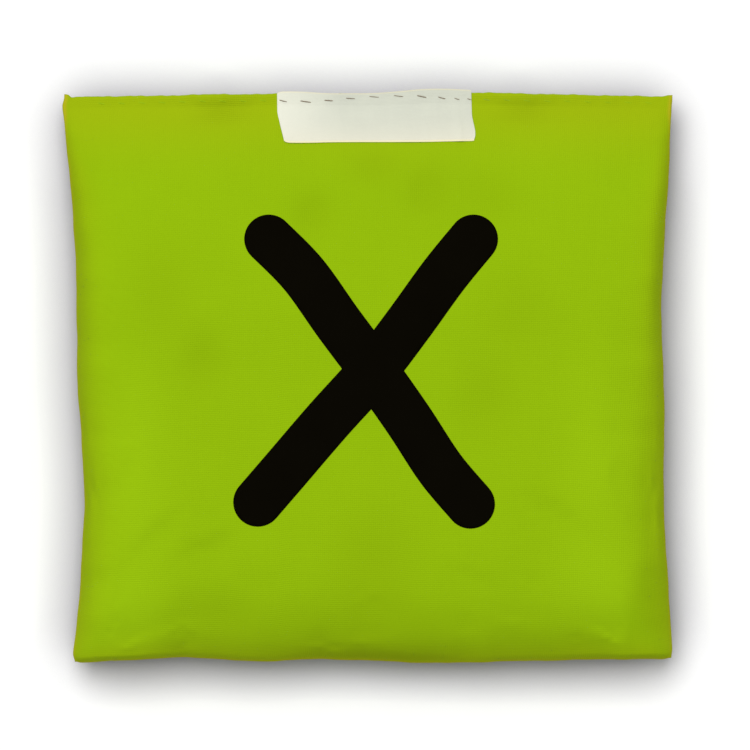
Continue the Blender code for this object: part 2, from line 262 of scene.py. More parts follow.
@dataclass(frozen=True)
class BagForm:
    """Outline and swell of the filled bag, with the shares of its edges at even steps."""

    top_width: float = 0.1200
    bottom_width: float = 0.1176
    bottom_shift: float = 0.0011
    cover_height: float = 0.1105
    side_pull: float = 0.0025
    top_bow: float = 0.0010
    bottom_bow: float = 0.0010
    left_pull_shares: Shares = (0, 0.22, 0.54, 0.70, 0.69, 0.65, 0.86, 1, 0.74, 0.34, -0.06)
    right_pull_shares: Shares = (-0.03, 0.10, 0.37, 0.64, 0.76, 0.56, 0.52, 0.57, 0.38, 0.08, -0.17)
    top_bow_shares: Shares = (0.2, 0.2, 0.4, 0.55, 0.7, 0.62, 0.95, 0.80, 0.55, 0.36, 0.12)
    bottom_bow_shares: Shares = (1.35, 0.65, 0.2, 0.95, 0.5, 0.8, 1.25, 1.0, 0.75, 0.55, 0.6)
    cloth: float = 0.00035
    fold_radius: float = 0.00053
    seam_gap: float = 0.0003
    land: float = 0.0024
    seam_height: float = 0.0080
    corner_droop: float = 0.0020
    droop_power: float = 3
    loft: float = 0.0108
    left_rise: EdgeRise = EdgeRise(
        Shoulder(0.0045, 0.85, 3.6), Shoulder(0.0085, 0.85, 3.6),
        (0, 0, 0.3, 0.8, 0.84, 0.87, 0.9, 0.92, 0.95, 1, 1), gentle_reach=0.030,
    )
    right_rise: EdgeRise = EdgeRise(
        Shoulder(0.0060, 0.73, 5.0), Shoulder(0.0095, 0.70, 3.4),
        (0, 0, 0.1, 0.2, 0.5, 0.8, 0.9, 1, 1), gentle_reach=0.034,
    )
    bottom_rise: EdgeRise = EdgeRise(
        Shoulder(0.0180, 0.97, 3.4), Shoulder(0.0012, 0.44, 2.0),
        (1, 0.92, 0.45, 0.38, 0.03, 0, 0.02, 0.32, 0.42, 0.78, 1), gentle_reach=0.021, gentle_power=2.0,
    )
    top_rise: EdgeRise = EdgeRise(Shoulder(0.042, 1.0, 1.8), Shoulder(0.042, 1.0, 1.8))
    dome_share: float = 0.10
    rest_share: float = 0.85
    belly_power: float = 1.3
    seam_lean: float = math.radians(72)
    lean_reach: float = 0.004
    side_ripple: Ripple = Ripple(((0.0155, 0.00005, 0.1), (0.0083, 0.00003, 0.6), (0.0047, 0.00001, 0.3)))
    top_ripple: Ripple = Ripple((
        (0.0143, 0.00004, 0.3), (0.0059, 0.00003, 0.0), (0.0033, 0.00003, 0.7), (0.0021, 0.00003, 0.2),
    ))
    bottom_ripple: Ripple = Ripple(((0.0137, 0.00005, 0.8), (0.0071, 0.00003, 0.2), (0.0039, 0.00001, 0.5)))
    pucker: Ripple = Ripple(((0.0172, 0.00022, 0.15), (0.0093, 0.00012, 0.55), (0.0056, 0.00005, 0.0)))
    pucker_reach: float = 0.0060
    hem_pucker_share: float = 0.35
    curls: tuple[tuple[float, float, float], ...] = ((-0.0300, 0.0050, 0.00210), (0.0300, 0.0060, 0.00170))
    curl_reach: float = 0.0032
    tips: tuple[CornerTip, ...] = (
        CornerTip(0, 0, -0.0004, 0, 0.0060),
        CornerTip(0, 0, 0.0005, 0.0004, 0.0009),
        CornerTip(0.0133, 0, 0, -0.0003, 0.0010),
        CornerTip(1, 0, 0.0002, 0.0003, 0.0012),
        CornerTip(0, 1, -0.0005, 0, 0.0050),
        CornerTip(0, 1, 0.0005, 0.0003, 0.0012),
        CornerTip(1, 1, -0.0003, 0.0003, 0.0014),
    )
    dents: tuple[Dent, ...] = (
        Dent(0.0120, 0.0366, 0.0040, 0.0045, 0.00110),
        Dent(0.0017, 0.0410, 0.0050, 0.0036, 0.00080),
        Dent(-0.0105, 0.0318, 0.0036, 0.0040, 0.00090),
        Dent(0.0245, 0.0345, 0.0070, 0.0060, 0.00050),
        Dent(-0.0570, 0.0375, 0.0034, 0.0080, 0.00090),
        Dent(-0.0400, 0.0160, 0.0065, 0.0110, 0.00060),
        Dent(-0.0320, 0.0025, 0.0045, 0.0060, 0.00080),
        Dent(0.0300, 0.0110, 0.0080, 0.0090, 0.00050),
        Dent(0.0240, -0.0060, 0.0060, 0.0080, 0.00060),
        Dent(0.0015, -0.0390, 0.0090, 0.0110, 0.00095),
        Dent(0.0030, -0.0485, 0.0330, 0.0045, 0.00040),
        Dent(0.0000, 0.0330, 0.0300, 0.0120, 0.00032),
        Dent(-0.0300, -0.0470, 0.0080, 0.0050, 0.00050),
        Dent(0.0420, -0.0530, 0.0040, 0.0030, 0.00070),
        Dent(0.0560, -0.0460, 0.0040, 0.0080, 0.00080),
        Dent(-0.0300, 0.0515, 0.0045, 0.0030, 0.00060),
        Dent(0.0300, 0.0520, 0.0060, 0.0030, 0.00070),
        Dent(0.0480, 0.0535, 0.0130, 0.0028, 0.00095),
        # Swellings: they raise the front, and the cloth on them is painted lighter, as painted light.
        Dent(-0.0455, -0.0200, 0.0070, 0.0240, -0.00045),
        Dent(0.0450, -0.0180, 0.0080, 0.0240, -0.00045),
        Dent(-0.0480, -0.0460, 0.0100, 0.0070, -0.00050),
        Dent(0.0480, -0.0440, 0.0100, 0.0080, -0.00050),
    )
    # Painted shade and light on the front's colour: the dent depth that gives full painted shade, the painted
    # shade along the bottom seam's crease and the painted light along the right edge.
    full_shade_depth: float = 0.0009
    crease_shade_shares: Shares = (0, 0, 0.1, 0.7, 1.6, 1.9, 1.8, 0.4, 0.5, 0, 0)
    crease_shade_reach: float = 0.0028
    deepest_crease_shade: float = 2
    right_light_reach: float = 0.0022
    right_light_start_share: float = 0.25
    bow_samples: int = 201

    @cached_property
    def corner_y(self) -> float:
        """Y of the top corners: the front panel's box ends at the highest place of its top fold."""
        highest = max(along(self.top_bow_shares, np.linspace(0, 1, self.bow_samples)))
        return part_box("front_panel")[1].y - self.top_bow * highest

    def left(self, v: Array) -> Array:
        """X of the left fold, v of the way down."""
        straight = mix(-self.top_width / 2, self.bottom_shift - self.bottom_width / 2, v)
        pull = self.side_pull * along(self.left_pull_shares, v)
        return straight + pull + self.side_ripple.at(v * self.cover_height)

    def right(self, v: Array) -> Array:
        """X of the right fold, v of the way down."""
        straight = mix(self.top_width / 2, self.bottom_shift + self.bottom_width / 2, v)
        pull = self.side_pull * along(self.right_pull_shares, v)
        return straight - pull + self.side_ripple.at((v + 1) * self.cover_height)

    def top(self, u: Array) -> Array:
        """Y of the top fold, u of the way across."""
        bow = self.top_bow * along(self.top_bow_shares, u)
        return self.corner_y + bow + self.top_ripple.at(u * self.top_width)

    def bottom(self, u: Array) -> Array:
        """Y of the bottom fold, u of the way across."""
        bow = self.bottom_bow * along(self.bottom_bow_shares, u)
        return self.corner_y - self.cover_height - bow + self.bottom_ripple.at(u * self.top_width)

    def lean(self, v: Array) -> Array:
        """How steeply the cloth leaves the side and bottom seams. It lies flat where the hem is stitched."""
        return self.seam_lean * smooth_step((v * self.cover_height - self.land) / self.lean_reach)

    def place(self, u: Array, v: Array) -> tuple[Array, Array]:
        """Lays out a cover's face, which ends where its folded edges begin.

        Args:
            u: Shares across.
            v: Shares down.

        Returns:
            X and y at those shares.
        """
        inset = self.fold_radius * (1 - np.sin(self.lean(v)))
        x = mix(self.left(v) + inset, self.right(v) - inset, u)
        low = self.fold_radius * (1 - math.sin(self.seam_lean))
        return x, mix(self.top(u) - self.fold_radius, self.bottom(u) + low, v)

    def tip_shift(self, u: Array, v: Array) -> tuple[Array, Array]:
        """Shapes the corners.

        Args:
            u: Shares across.
            v: Shares down.

        Returns:
            How far the tips move each place along x and y.
        """
        dx, dy = np.zeros(np.shape(u)), np.zeros(np.shape(u))
        for tip in self.tips:
            away = np.hypot((u - tip.u) * self.top_width, (v - tip.v) * self.cover_height)
            near = np.exp(-((away / tip.reach) ** 2))
            dx += tip.dx * near
            dy += tip.dy * near
        return dx, dy

    def fullness(self, u: Array, v: Array, x: Array, y: Array) -> Array:
        """Multiplies the rises from the four seams.

        Args:
            u: Shares across.
            v: Shares down.
            x: X at those shares.
            y: Y at those shares.

        Returns:
            How full the bag is at each place, from 0 at the seams to 1.
        """
        inset = self.fold_radius * (1 - np.sin(self.lean(v)))
        return (
            self.left_rise.at(x - self.left(v) - inset, v)
            * self.right_rise.at(self.right(v) - inset - x, v)
            * self.bottom_rise.at(y - self.bottom(u) - inset, u)
            * self.top_rise.at(self.top(u) - self.land - y, u)
        )

    def seam(self, u: Array, v: Array) -> Array:
        """Finds where the two covers meet: it droops toward the corners and puckers along the seams.

        Args:
            u: Shares across.
            v: Shares down.

        Returns:
            Z of the seam's level at each place.
        """
        corner = np.clip(np.abs((2 * u - 1) * (2 * v - 1)), 0, 1)
        level = self.seam_height - self.corner_droop * corner**self.droop_power
        across, down = u * self.top_width, v * self.cover_height
        side = np.minimum(across, self.top_width - across)
        to_top, to_bottom = np.abs(down), np.abs(self.cover_height - down)
        level = level + self.pucker.at(down) * np.exp(-((side / self.pucker_reach) ** 2))
        level += self.pucker.at(across + self.cover_height) * np.exp(-((to_bottom / self.pucker_reach) ** 2))
        hem = self.hem_pucker_share * self.pucker.at(across)
        for middle, width, height in self.curls:
            hem += height * np.exp(-(((across - self.top_width / 2 - middle) / width) ** 2))
        return level + hem * np.exp(-((to_top / self.curl_reach) ** 2))

    def height(self, side: Side, u: Array, v: Array) -> Array:
        """Z of a cover's outer face before the cloth settles.

        Args:
            side: The front or the back cover.
            u: Shares across.
            v: Shares down.

        Returns:
            The heights.
        """
        x, y = self.place(u, v)
        full = self.fullness(u, v, x, y)
        lip = self.seam_gap / 2 + self.fold_radius * (1 + np.cos(self.lean(v)))
        edge = self.seam(u, v) + side.value * lip
        if side is Side.BACK:
            return edge * np.clip(1 - full / self.rest_share, 0, 1) ** self.belly_power
        dome = 1 - self.dome_share * ((2 * u - 1) ** 2 + (2 * v - 1) ** 2) / 2
        return edge + self.loft * dome * full

    def dented(self, u: Array, v: Array) -> Array:
        """How far the front's dents move each place up. They form as the bag lies, after it settles."""
        x, y = self.place(u, v)
        return self.fullness(u, v, x, y) * sum(dent.at(x, y) for dent in self.dents)

    def hollow(self, u: Array, v: Array) -> Array:
        """Finds the painted shade and painted light on the front's colour: shade in its hollows and in the
        bottom seam's crease, light on its swellings and along its right edge.

        Args:
            u: Shares across.
            v: Shares down.

        Returns:
            1 in a full hollow and more in the bottom seam's crease, both painted shade, and below 0, painted
            light, where the cloth swells and along its right edge.
        """
        x, y = self.place(u, v)
        # Painted shade along the bottom seam, strongest in the middle.
        crease = along(self.crease_shade_shares, u) * np.exp(-(((y - self.bottom(u)) / self.crease_shade_reach) ** 2))
        # Painted light along the right edge, below its top quarter.
        near_right = np.exp(-(((self.right(v) - x) / self.right_light_reach) ** 2))
        painted_right_light = smooth_step(v / self.right_light_start_share) * near_right
        # Painted shade in the dents, and painted light on the swellings.
        hollow = -sum(dent.at(x, y) for dent in self.dents) / self.full_shade_depth
        return np.clip(hollow, -1, 1) + np.clip(crease, 0, self.deepest_crease_shade) - painted_right_light


# Making meshes


@dataclass(frozen=True)
class Rim:
    """The edge of a grid, clockwise from its top left corner."""

    columns: int
    rows: int

    @cached_property
    def places(self) -> tuple[Array, Array]:
        """Runs round the edge.

        Returns:
            The columns and the rows of its vertices.
        """
        columns, rows = self.columns, self.rows
        top = [(i, 0) for i in range(columns)]
        right = [(columns, j) for j in range(rows)]
        bottom = [(i, rows) for i in range(columns, 0, -1)]
        left = [(0, j) for j in range(rows, 0, -1)]
        both = np.array(top + right + bottom + left)
        return both[:, 0], both[:, 1]

    @cached_property
    def numbers(self) -> Array:
        """The numbers of its vertices."""
        columns, rows = self.places
        return rows * (self.columns + 1) + columns

    @cached_property
    def ways(self) -> Array:
        """Points out of the grid at each vertex, slantwise at the corners.

        Returns:
            Vectors of +1, 0 or -1 along x and y.
        """
        columns, rows = self.places
        x = (columns == self.columns).astype(float) - (columns == 0)
        y = (rows == 0).astype(float) - (rows == self.rows)
        return np.stack([x, y, np.zeros(len(x))], -1)

    @cached_property
    def from_corner(self) -> Array:
        """How many vertices each lies from the nearest corner."""
        columns, rows = self.places
        return np.minimum(columns, self.columns - columns) + np.minimum(rows, self.rows - rows)


def grid_quads(columns: int, rows: int, first: int = 0) -> Array:
    """Makes the quads of a grid whose vertices run across and then down.

    Args:
        columns: How many quads it has across.
        rows: How many quads it has down.
        first: The number of its first vertex.

    Returns:
        The quads, which face up where row 0 is at +Y.
    """
    i, j = np.meshgrid(np.arange(columns), np.arange(rows))
    corner = first + j * (columns + 1) + i
    below = corner + columns + 1
    return np.stack([corner, below, below + 1, corner + 1], -1).reshape(-1, 4)


def band_quads(inner: Array, outer: Array) -> Array:
    """Quads between two closed loops of vertex numbers of the same length."""
    return np.stack([inner, np.roll(inner, -1), np.roll(outer, -1), outer], -1)


def pillow_quads(columns: int, rows: int) -> Array:
    """Joins two grids round their rims.

    Args:
        columns: How many quads each has across.
        rows: How many quads each has down.

    Returns:
        The quads of the closed pillow, whose upper grid's vertices come before its lower grid's.
    """
    count = (columns + 1) * (rows + 1)
    rim = Rim(columns, rows).numbers
    lower = grid_quads(columns, rows, count)[:, ::-1]
    return np.vstack([grid_quads(columns, rows), lower, band_quads(rim, rim + count)])


def in_fixed_order(mesh: bmesh.types.BMesh) -> tuple[Array, list]:
    """Numbers a mesh by place, because the order that Blender leaves can differ from run to run.

    Args:
        mesh: The mesh.

    Returns:
        Its vertices and its faces, each of which starts at its lowest number.
    """
    mesh.verts.index_update()
    points = np.array([tuple(vertex.co) for vertex in mesh.verts])
    order = np.lexsort(points.T[::-1])
    rank = np.argsort(order)
    faces = []
    for face in mesh.faces:
        numbers = [int(rank[vertex.index]) for vertex in face.verts]
        start = numbers.index(min(numbers))
        faces.append(numbers[start:] + numbers[:start])
    return points[order], sorted(faces)


def mesh_object(name: str, points: Array, faces: list, finish: bpy.types.Material) -> bpy.types.Object:
    """Makes a smooth mesh object.

    Args:
        name: The piece's name.
        points: Vertices, one row each.
        faces: Lists or arrays of vertex numbers.
        finish: The material.

    Returns:
        The new object, linked to the scene.
    """
    data = bpy.data.meshes.new(name)
    data.from_pydata(np.asarray(points, float).tolist(), [], [list(map(int, face)) for face in faces])
    data.update()
    data.shade_smooth()
    data.materials.append(finish)
    made = bpy.data.objects.new(name, data)
    bpy.context.scene.collection.objects.link(made)
    return made


def set_attribute(target: bpy.types.Object, name: str, values: Array) -> None:
    """Stores values for the material to read.

    Args:
        target: The piece.
        name: The attribute's name.
        values: A number or a vector for each vertex.
    """
    vector = np.ndim(values) == 2
    kind = "FLOAT_VECTOR" if vector else "FLOAT"
    made = target.data.attributes.new(name, kind, "POINT")
    made.data.foreach_set("vector" if vector else "value", np.asarray(values, np.float32).ravel())


def vertex_normals(points: Array, faces: Array) -> Array:
    """Averages the normals of the faces round each vertex.

    Args:
        points: The vertices.
        faces: Their quads.

    Returns:
        The vertices' unit normals.
    """
    corners = points[faces]
    normal = np.cross(corners[:, 2] - corners[:, 0], corners[:, 3] - corners[:, 1])
    total = np.zeros_like(points)
    for corner in range(faces.shape[1]):
        np.add.at(total, faces[:, corner], normal)
    return total / np.maximum(np.linalg.norm(total, axis=1, keepdims=True), 1e-12)


def shell(points: Array, faces: Array, border: Array, thickness: float) -> tuple[Array, Array]:
    """Closes an open sheet with a second skin behind it.

    Args:
        points: The outer skin's vertices.
        faces: Its quads, facing out.
        border: Vertex numbers round its open edge, in the order that its faces run.
        thickness: How far behind it the second skin lies.

    Returns:
        The vertices and quads of the closed sheet.
    """
    count = len(points)
    inner = points - vertex_normals(points, faces) * thickness
    skins = np.vstack([faces, faces[:, ::-1] + count])
    return np.vstack([points, inner]), np.vstack([skins, band_quads(border, border + count)])


def dress(piece: bpy.types.Object, nodes: tuple[str, ...]) -> bpy.types.Object:
    """Hides the model's nodes that a finished piece stands for, and logs it.

    Args:
        piece: The piece.
        nodes: The nodes that it stands for.

    Returns:
        The piece.
    """
    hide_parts(*nodes)
    log.info("%s: %d faces, stands for %s", piece.name, len(piece.data.polygons), ", ".join(nodes))
    return piece


# The cloth's own fall


@dataclass(frozen=True)
class ClothSettling:
    """Lets the sewn and filled covers settle as cloth does, held at their seams."""

    columns: int = 66
    rows: int = 62
    crowding: float = 0.50
    frames: int = 20
    quality: int = 5
    pressure: float = 4
    stiffness: float = 15
    shear_share: float = 0.35
    bending: float = 1.0
    seam_slack: float = -0.002
    slack_reach: float = 0.015
    held_below_top: float = 0.0026
    rest_level: float = 0.0002
    cap: float = 0.00035

    def stations(self) -> tuple[Array, Array]:
        """The shares across and down at which the cloth is simulated."""
        return graded(self.columns, self.crowding), graded(self.rows, self.crowding)

    def settle(self, form: BagForm) -> dict[Side, GridField]:
        """Runs the simulation.

        Args:
            form: The bag's form before it settles.

        Returns:
            How far each cover's cloth moves, as a field over its shares.
        """
        us, vs = self.stations()
        u, v = np.meshgrid(us, vs)
        x, y = form.place(u, v)
        rest = {side: np.stack([x, y, form.height(side, u, v)], -1) for side in Side}
        pillow = self._pillow(rest)
        self._hold(pillow, form, u, v, rest[Side.BACK][..., 2])
        moved = self._run(pillow)
        count = u.size
        fields = {}
        for side, part in zip(Side, (moved[:count], moved[count:])):
            shift = part.reshape(rest[side].shape) - rest[side]
            size = np.linalg.norm(shift, axis=-1, keepdims=True)
            capped = shift * self.cap * np.tanh(size / self.cap) / np.maximum(size, 1e-9)
            fields[side] = GridField(us, vs, capped)
            log.info("%s cloth settles by up to %.2f mm", side.name.lower(), 1000 * size.max())
        return fields

    def _pillow(self, rest: dict[Side, Array]) -> bpy.types.Object:
        """Makes one closed mesh of both covers.

        Args:
            rest: Each cover's points before they settle.

        Returns:
            The mesh to simulate.
        """
        points = np.vstack([rest[side].reshape(-1, 3) for side in Side])
        faces = pillow_quads(self.columns, self.rows)
        return mesh_object("settling_cloth", points, faces, bpy.data.materials.new("settling_cloth"))

    def _hold(self, pillow: bpy.types.Object, form: BagForm, u: Array, v: Array, back_level: Array) -> None:
        """Holds the seams, the hem and the face that rests, and gives the seams a little spare cloth.

        Args:
            pillow: The mesh to simulate.
            form: The bag's form.
            u: Shares across.
            v: Shares down.
            back_level: Z of the back cover at those shares.
        """
        across, down = u * form.top_width, v * form.cover_height
        edge = np.minimum.reduce([across, form.top_width - across, down, form.cover_height - down])
        rim = np.minimum.reduce([u, 1 - u, v, 1 - v]) <= 0
        held_front = rim | (down < self.held_below_top)
        held_back = held_front | (back_level < self.rest_level)
        held = np.concatenate([held_front.ravel(), held_back.ravel()])
        pillow.vertex_groups.new(name="held").add(np.flatnonzero(held).tolist(), 1.0, "REPLACE")
        slack = pillow.vertex_groups.new(name="slack")
        weights = np.tile(np.exp(-((edge / self.slack_reach) ** 2)).ravel(), 2)
        for index, weight in enumerate(weights):
            slack.add([index], float(weight), "REPLACE")

    def _run(self, pillow: bpy.types.Object) -> Array:
        """Runs the cloth over its frames and removes it.

        Args:
            pillow: The mesh to simulate.

        Returns:
            Its vertices where they end.
        """
        cloth = pillow.modifiers.new("Cloth", "CLOTH")
        cloth.point_cache.frame_start = 1
        cloth.point_cache.frame_end = self.frames
        settings = cloth.settings
        settings.quality = self.quality
        settings.tension_stiffness = settings.compression_stiffness = self.stiffness
        settings.shear_stiffness = self.stiffness * self.shear_share
        settings.bending_stiffness = self.bending
        settings.use_pressure = True
        settings.uniform_pressure_force = self.pressure
        settings.effector_weights.gravity = 0
        settings.vertex_group_mass = "held"
        settings.vertex_group_shrink = "slack"
        settings.shrink_min = 0
        settings.shrink_max = self.seam_slack
        for step in range(1, self.frames + 1):
            bpy.context.scene.frame_set(step)
        settled = bpy.data.meshes.new_from_object(pillow.evaluated_get(bpy.context.evaluated_depsgraph_get()))
        points = np.zeros(len(settled.vertices) * 3)
        settled.vertices.foreach_get("co", points)
        bpy.context.scene.frame_set(1)
        bpy.data.objects.remove(pillow)
        bpy.data.meshes.remove(settled)
        return points.reshape(-1, 3)


@dataclass(frozen=True)
class StitchLine:
    """The row of lockstitch that closes the hem and catches the label."""

    start: float = 0.0055
    end: float = 0.0025
    pitch: float = 0.0040
    inset: float = 0.0014
    whole_stitch_share: float = 0.01
    label_left: float = -0.0178
    label_width: float = 0.0383
    drift: float = 0.0034
    drift_shares: Shares = (0, -0.05, 0.33, 0.25, 0.55, 0.78, 0.97, 0.97, 0.60, 0)
    wander_shares: Shares = (1.0, 1.19, 1.10, 0.73, 0.42, 0.40, 0.62, 0.86, 0.94)
    label_edge_rate: float = 8
    pinch_depth: float = 0.00007
    pinch_radius: float = 0.00085
    back_pinch_share: float = 0.6

    def y_at(self, form: BagForm, x: Array) -> Array:
        """Follows the stitch line, which wanders a little where it crosses the label.

        Args:
            form: The bag's form.
            x: Places along the hem.

        Returns:
            Y of the line at each place.
        """
        share = (x - self.label_left) / self.label_width
        from_left = smooth_step(share * self.label_edge_rate + 0.5)
        inside = from_left * smooth_step((1 - share) * self.label_edge_rate + 0.5)
        wander = mix(1, along(self.wander_shares, share), inside)
        return form.top(x / form.top_width + 0.5) - self.inset * wander

    def holes(self, form: BagForm) -> Array:
        """Steps along the line. The label made the steps uneven.

        Args:
            form: The bag's form.

        Returns:
            Where the needle went through, one (x, y) row each.
        """
        run = form.top_width - self.start - self.end
        count = int(run / self.pitch + self.whole_stitch_share) + 1
        x = self.start - form.top_width / 2 + self.pitch * np.arange(count)
        x = x + self.drift * along(self.drift_shares, (x - self.label_left) / self.label_width)
        return np.stack([x, self.y_at(form, x)], -1)

    def pinch(self, form: BagForm, x: Array, y: Array) -> Array:
        """Pulls the cloth in round each stitch hole.

        Args:
            form: The bag's form.
            x: X of the places.
            y: Y of the places.

        Returns:
            How far the cloth is pulled in at each place.
        """
        depth = np.zeros(np.shape(x))
        for hole_x, hole_y in self.holes(form):
            depth += np.exp(-(((x - hole_x) ** 2 + (y - hole_y) ** 2) / self.pinch_radius**2))
        return self.pinch_depth * depth


class CoverSurface:
    """The outer faces of the settled bag, to which every other piece is laid."""

    def __init__(self, form: BagForm, stitches: StitchLine, settled: dict[Side, GridField]) -> None:
        """Keeps the form, the stitches that pinch it and the cloth's own fall."""
        self.form = form
        self.stitches = stitches
        self.settled = settled

    def points(self, side: Side, u: Array, v: Array) -> Array:
        """Points of a cover's outer face.

        Args:
            side: The front or the back cover.
            u: Shares across.
            v: Shares down, where a share below 0 runs on flat past the hem.

        Returns:
            The points, in the shape of u with one more axis.
        """
        form = self.form
        x, y = form.place(u, v)
        dx, dy = form.tip_shift(u, v)
        base = np.stack([x + dx, y + dy, form.height(side, u, v)], -1)
        out = base + self.settled[side].at(u, v)
        share = 1 if side is Side.FRONT else self.stitches.back_pinch_share
        out[..., 2] -= side.value * share * self.stitches.pinch(form, out[..., 0], out[..., 1])
        if side is Side.FRONT:
            out[..., 2] += form.dented(u, v)
        else:
            out[..., 2] = np.maximum(out[..., 2], 0)
        return out

    def shares_at(self, side: Side, x: Array, y: Array, rounds: int = 6) -> tuple[Array, Array]:
        """Finds places on a cover by stepping toward them.

        Args:
            side: The front or the back cover.
            x: X of the places.
            y: Y of the places.
            rounds: How many steps it takes.

        Returns:
            The shares (u, v) of the places.
        """
        form = self.form
        u = x / form.top_width + 0.5
        v = (form.corner_y - y) / form.cover_height
        for _ in range(rounds):
            spot = self.points(side, u, v)
            u = u + (x - spot[..., 0]) / (form.right(v) - form.left(v))
            v = v - (y - spot[..., 1]) / form.cover_height
        return u, v

    def level(self, side: Side, x: Array, y: Array) -> Array:
        """Z of a cover's outer face at the places x, y."""
        return self.points(side, *self.shares_at(side, x, y))[..., 2]


# Shader nodes


def add_node(tree: bpy.types.NodeTree, kind: str, inputs: dict | None = None, **settings) -> bpy.types.Node:
    """Adds a shader node.

    Args:
        tree: The material's or the group's tree.
        kind: The node's type.
        inputs: Values for its sockets, by name or number. A socket here is linked.
        **settings: The node's own settings.

    Returns:
        The new node.
    """
    node = tree.nodes.new(kind)
    for key, value in settings.items():
        setattr(node, key, value)
    for key, value in (inputs or {}).items():
        if isinstance(value, bpy.types.NodeSocket):
            tree.links.new(value, node.inputs[key])
        else:
            node.inputs[key].default_value = value
    return node


def maths(tree: bpy.types.NodeTree, operation: str, *terms: object) -> bpy.types.NodeSocket:
    """The result of one Math node on these terms, each a number or a socket."""
    return add_node(tree, "ShaderNodeMath", dict(enumerate(terms)), operation=operation).outputs[0]


def add_up(tree: bpy.types.NodeTree, total: object, *parts: tuple[object, float]) -> bpy.types.NodeSocket:
    """Adds a share of each of some sockets to a total.

    Args:
        tree: The material's or the group's tree.
        total: The number or the socket to start from.
        *parts: Each part's socket and its share.

    Returns:
        The socket of the sum.
    """
    for socket, share in parts:
        total = maths(tree, "MULTIPLY_ADD", socket, share, total)
    return total


def blend_colours(tree: bpy.types.NodeTree, share: object, a: object, b: object) -> bpy.types.NodeSocket:
    """The colour that lies this share of the way from a to b, each a colour or a socket."""
    ends = {key: (*end, 1) if isinstance(end, tuple) else end for key, end in ((6, a), (7, b))}
    return add_node(tree, "ShaderNodeMix", {0: share, **ends}, data_type="RGBA").outputs[2]


def read_attribute(tree: bpy.types.NodeTree, name: str, output: str = "Fac") -> bpy.types.NodeSocket:
    """An output of a vertex attribute."""
    return add_node(tree, "ShaderNodeAttribute", attribute_name=name).outputs[output]


def add_bump(tree: bpy.types.NodeTree, shader: bpy.types.Node, height: object, distance: float) -> None:
    """Roughens a shader's normal by this height, whose full swing is this distance."""
    bump = add_node(tree, "ShaderNodeBump", {"Height": height, "Distance": distance, "Strength": 1.0})
    tree.links.new(bump.outputs["Normal"], shader.inputs["Normal"])


class Effect(Enum):
    """Shader groups that more than one finish uses. Each is built once."""

    WEAVE = "Plain weave"
    SLUBS = "Yarn slubs"
    FUZZ = "Fibre fuzz"

    def place(self, tree: bpy.types.NodeTree, inputs: dict) -> bpy.types.bpy_prop_collection:
        """Puts the group into a material.

        Args:
            tree: The material's tree.
            inputs: Values or sockets for the group's inputs.

        Returns:
            The group's outputs.
        """
        group = bpy.data.node_groups.get(self.value)
        if not group:
            group = {Effect.WEAVE: build_weave, Effect.SLUBS: build_slubs, Effect.FUZZ: build_fuzz}[self]()
        return add_node(tree, "ShaderNodeGroup", inputs, node_tree=group).outputs


def new_group(effect: Effect, numbers: tuple[str, ...], outputs: tuple[str, ...]) -> tuple:
    """Starts a shader group that reads the place on the flat cloth.

    Args:
        effect: The effect that it makes.
        numbers: Names of its other inputs, which are numbers.
        outputs: Names of its outputs, which are numbers too.

    Returns:
        The tree, what is given to the group and the node that takes its results.
    """
    tree = bpy.data.node_groups.new(effect.value, "ShaderNodeTree")
    tree.interface.new_socket("Place", in_out="INPUT", socket_type="NodeSocketVector")
    for way, names in (("INPUT", numbers), ("OUTPUT", outputs)):
        for name in names:
            tree.interface.new_socket(name, in_out=way, socket_type="NodeSocketFloat")
    return tree, tree.nodes.new("NodeGroupInput").outputs, tree.nodes.new("NodeGroupOutput")


def build_weave() -> bpy.types.NodeTree:
    """Makes the group of warp and weft threads that pass over and under each other.

    Returns:
        The group, which puts out its height and 1 where the warp is on top.
    """
    tree, given, result = new_group(Effect.WEAVE, ("Warp Threads", "Weft Threads"), ("Height", "Warp"))
    spot = add_node(tree, "ShaderNodeSeparateXYZ", {0: given["Place"]})
    waves = []
    for axis, threads in (("X", "Warp Threads"), ("Y", "Weft Threads")):
        turns = maths(tree, "MULTIPLY", spot.outputs[axis], given[threads])
        waves.append(maths(tree, "COSINE", maths(tree, "MULTIPLY", turns, math.pi)))
    over = maths(tree, "MULTIPLY_ADD", maths(tree, "MULTIPLY", *waves), 0.5, 0.5)
    warp, weft = (maths(tree, "ABSOLUTE", wave) for wave in waves)
    shape = add_node(tree, "ShaderNodeMix", {0: over, 2: weft, 3: warp}, data_type="FLOAT").outputs[0]
    tree.links.new(shape, result.inputs["Height"])
    tree.links.new(over, result.inputs["Warp"])
    return tree


def build_slubs() -> bpy.types.NodeTree:
    """Makes the group of uneven yarn, which shows as streaks along the warp and the weft.

    Returns:
        The group, which puts out a shade from 0 to 1 with a middle of one half.
    """
    tree, given, result = new_group(Effect.SLUBS, ("Streak Threads", "Streak Length"), ("Shade",))
    spot = add_node(tree, "ShaderNodeSeparateXYZ", {0: given["Place"]})
    streaks = []
    for wide, long in (("X", "Y"), ("Y", "X")):
        across = maths(tree, "MULTIPLY", spot.outputs[wide], given["Streak Threads"])
        down = maths(tree, "DIVIDE", spot.outputs[long], given["Streak Length"])
        place = add_node(tree, "ShaderNodeCombineXYZ", {"X": across, "Y": down})
        terms = {"Vector": place.outputs[0], "Scale": 1.0, "Detail": 2.0}
        streaks.append(add_node(tree, "ShaderNodeTexNoise", terms).outputs["Fac"])
    mean = maths(tree, "MULTIPLY", maths(tree, "ADD", *streaks), 0.5)
    tree.links.new(mean, result.inputs["Shade"])
    return tree


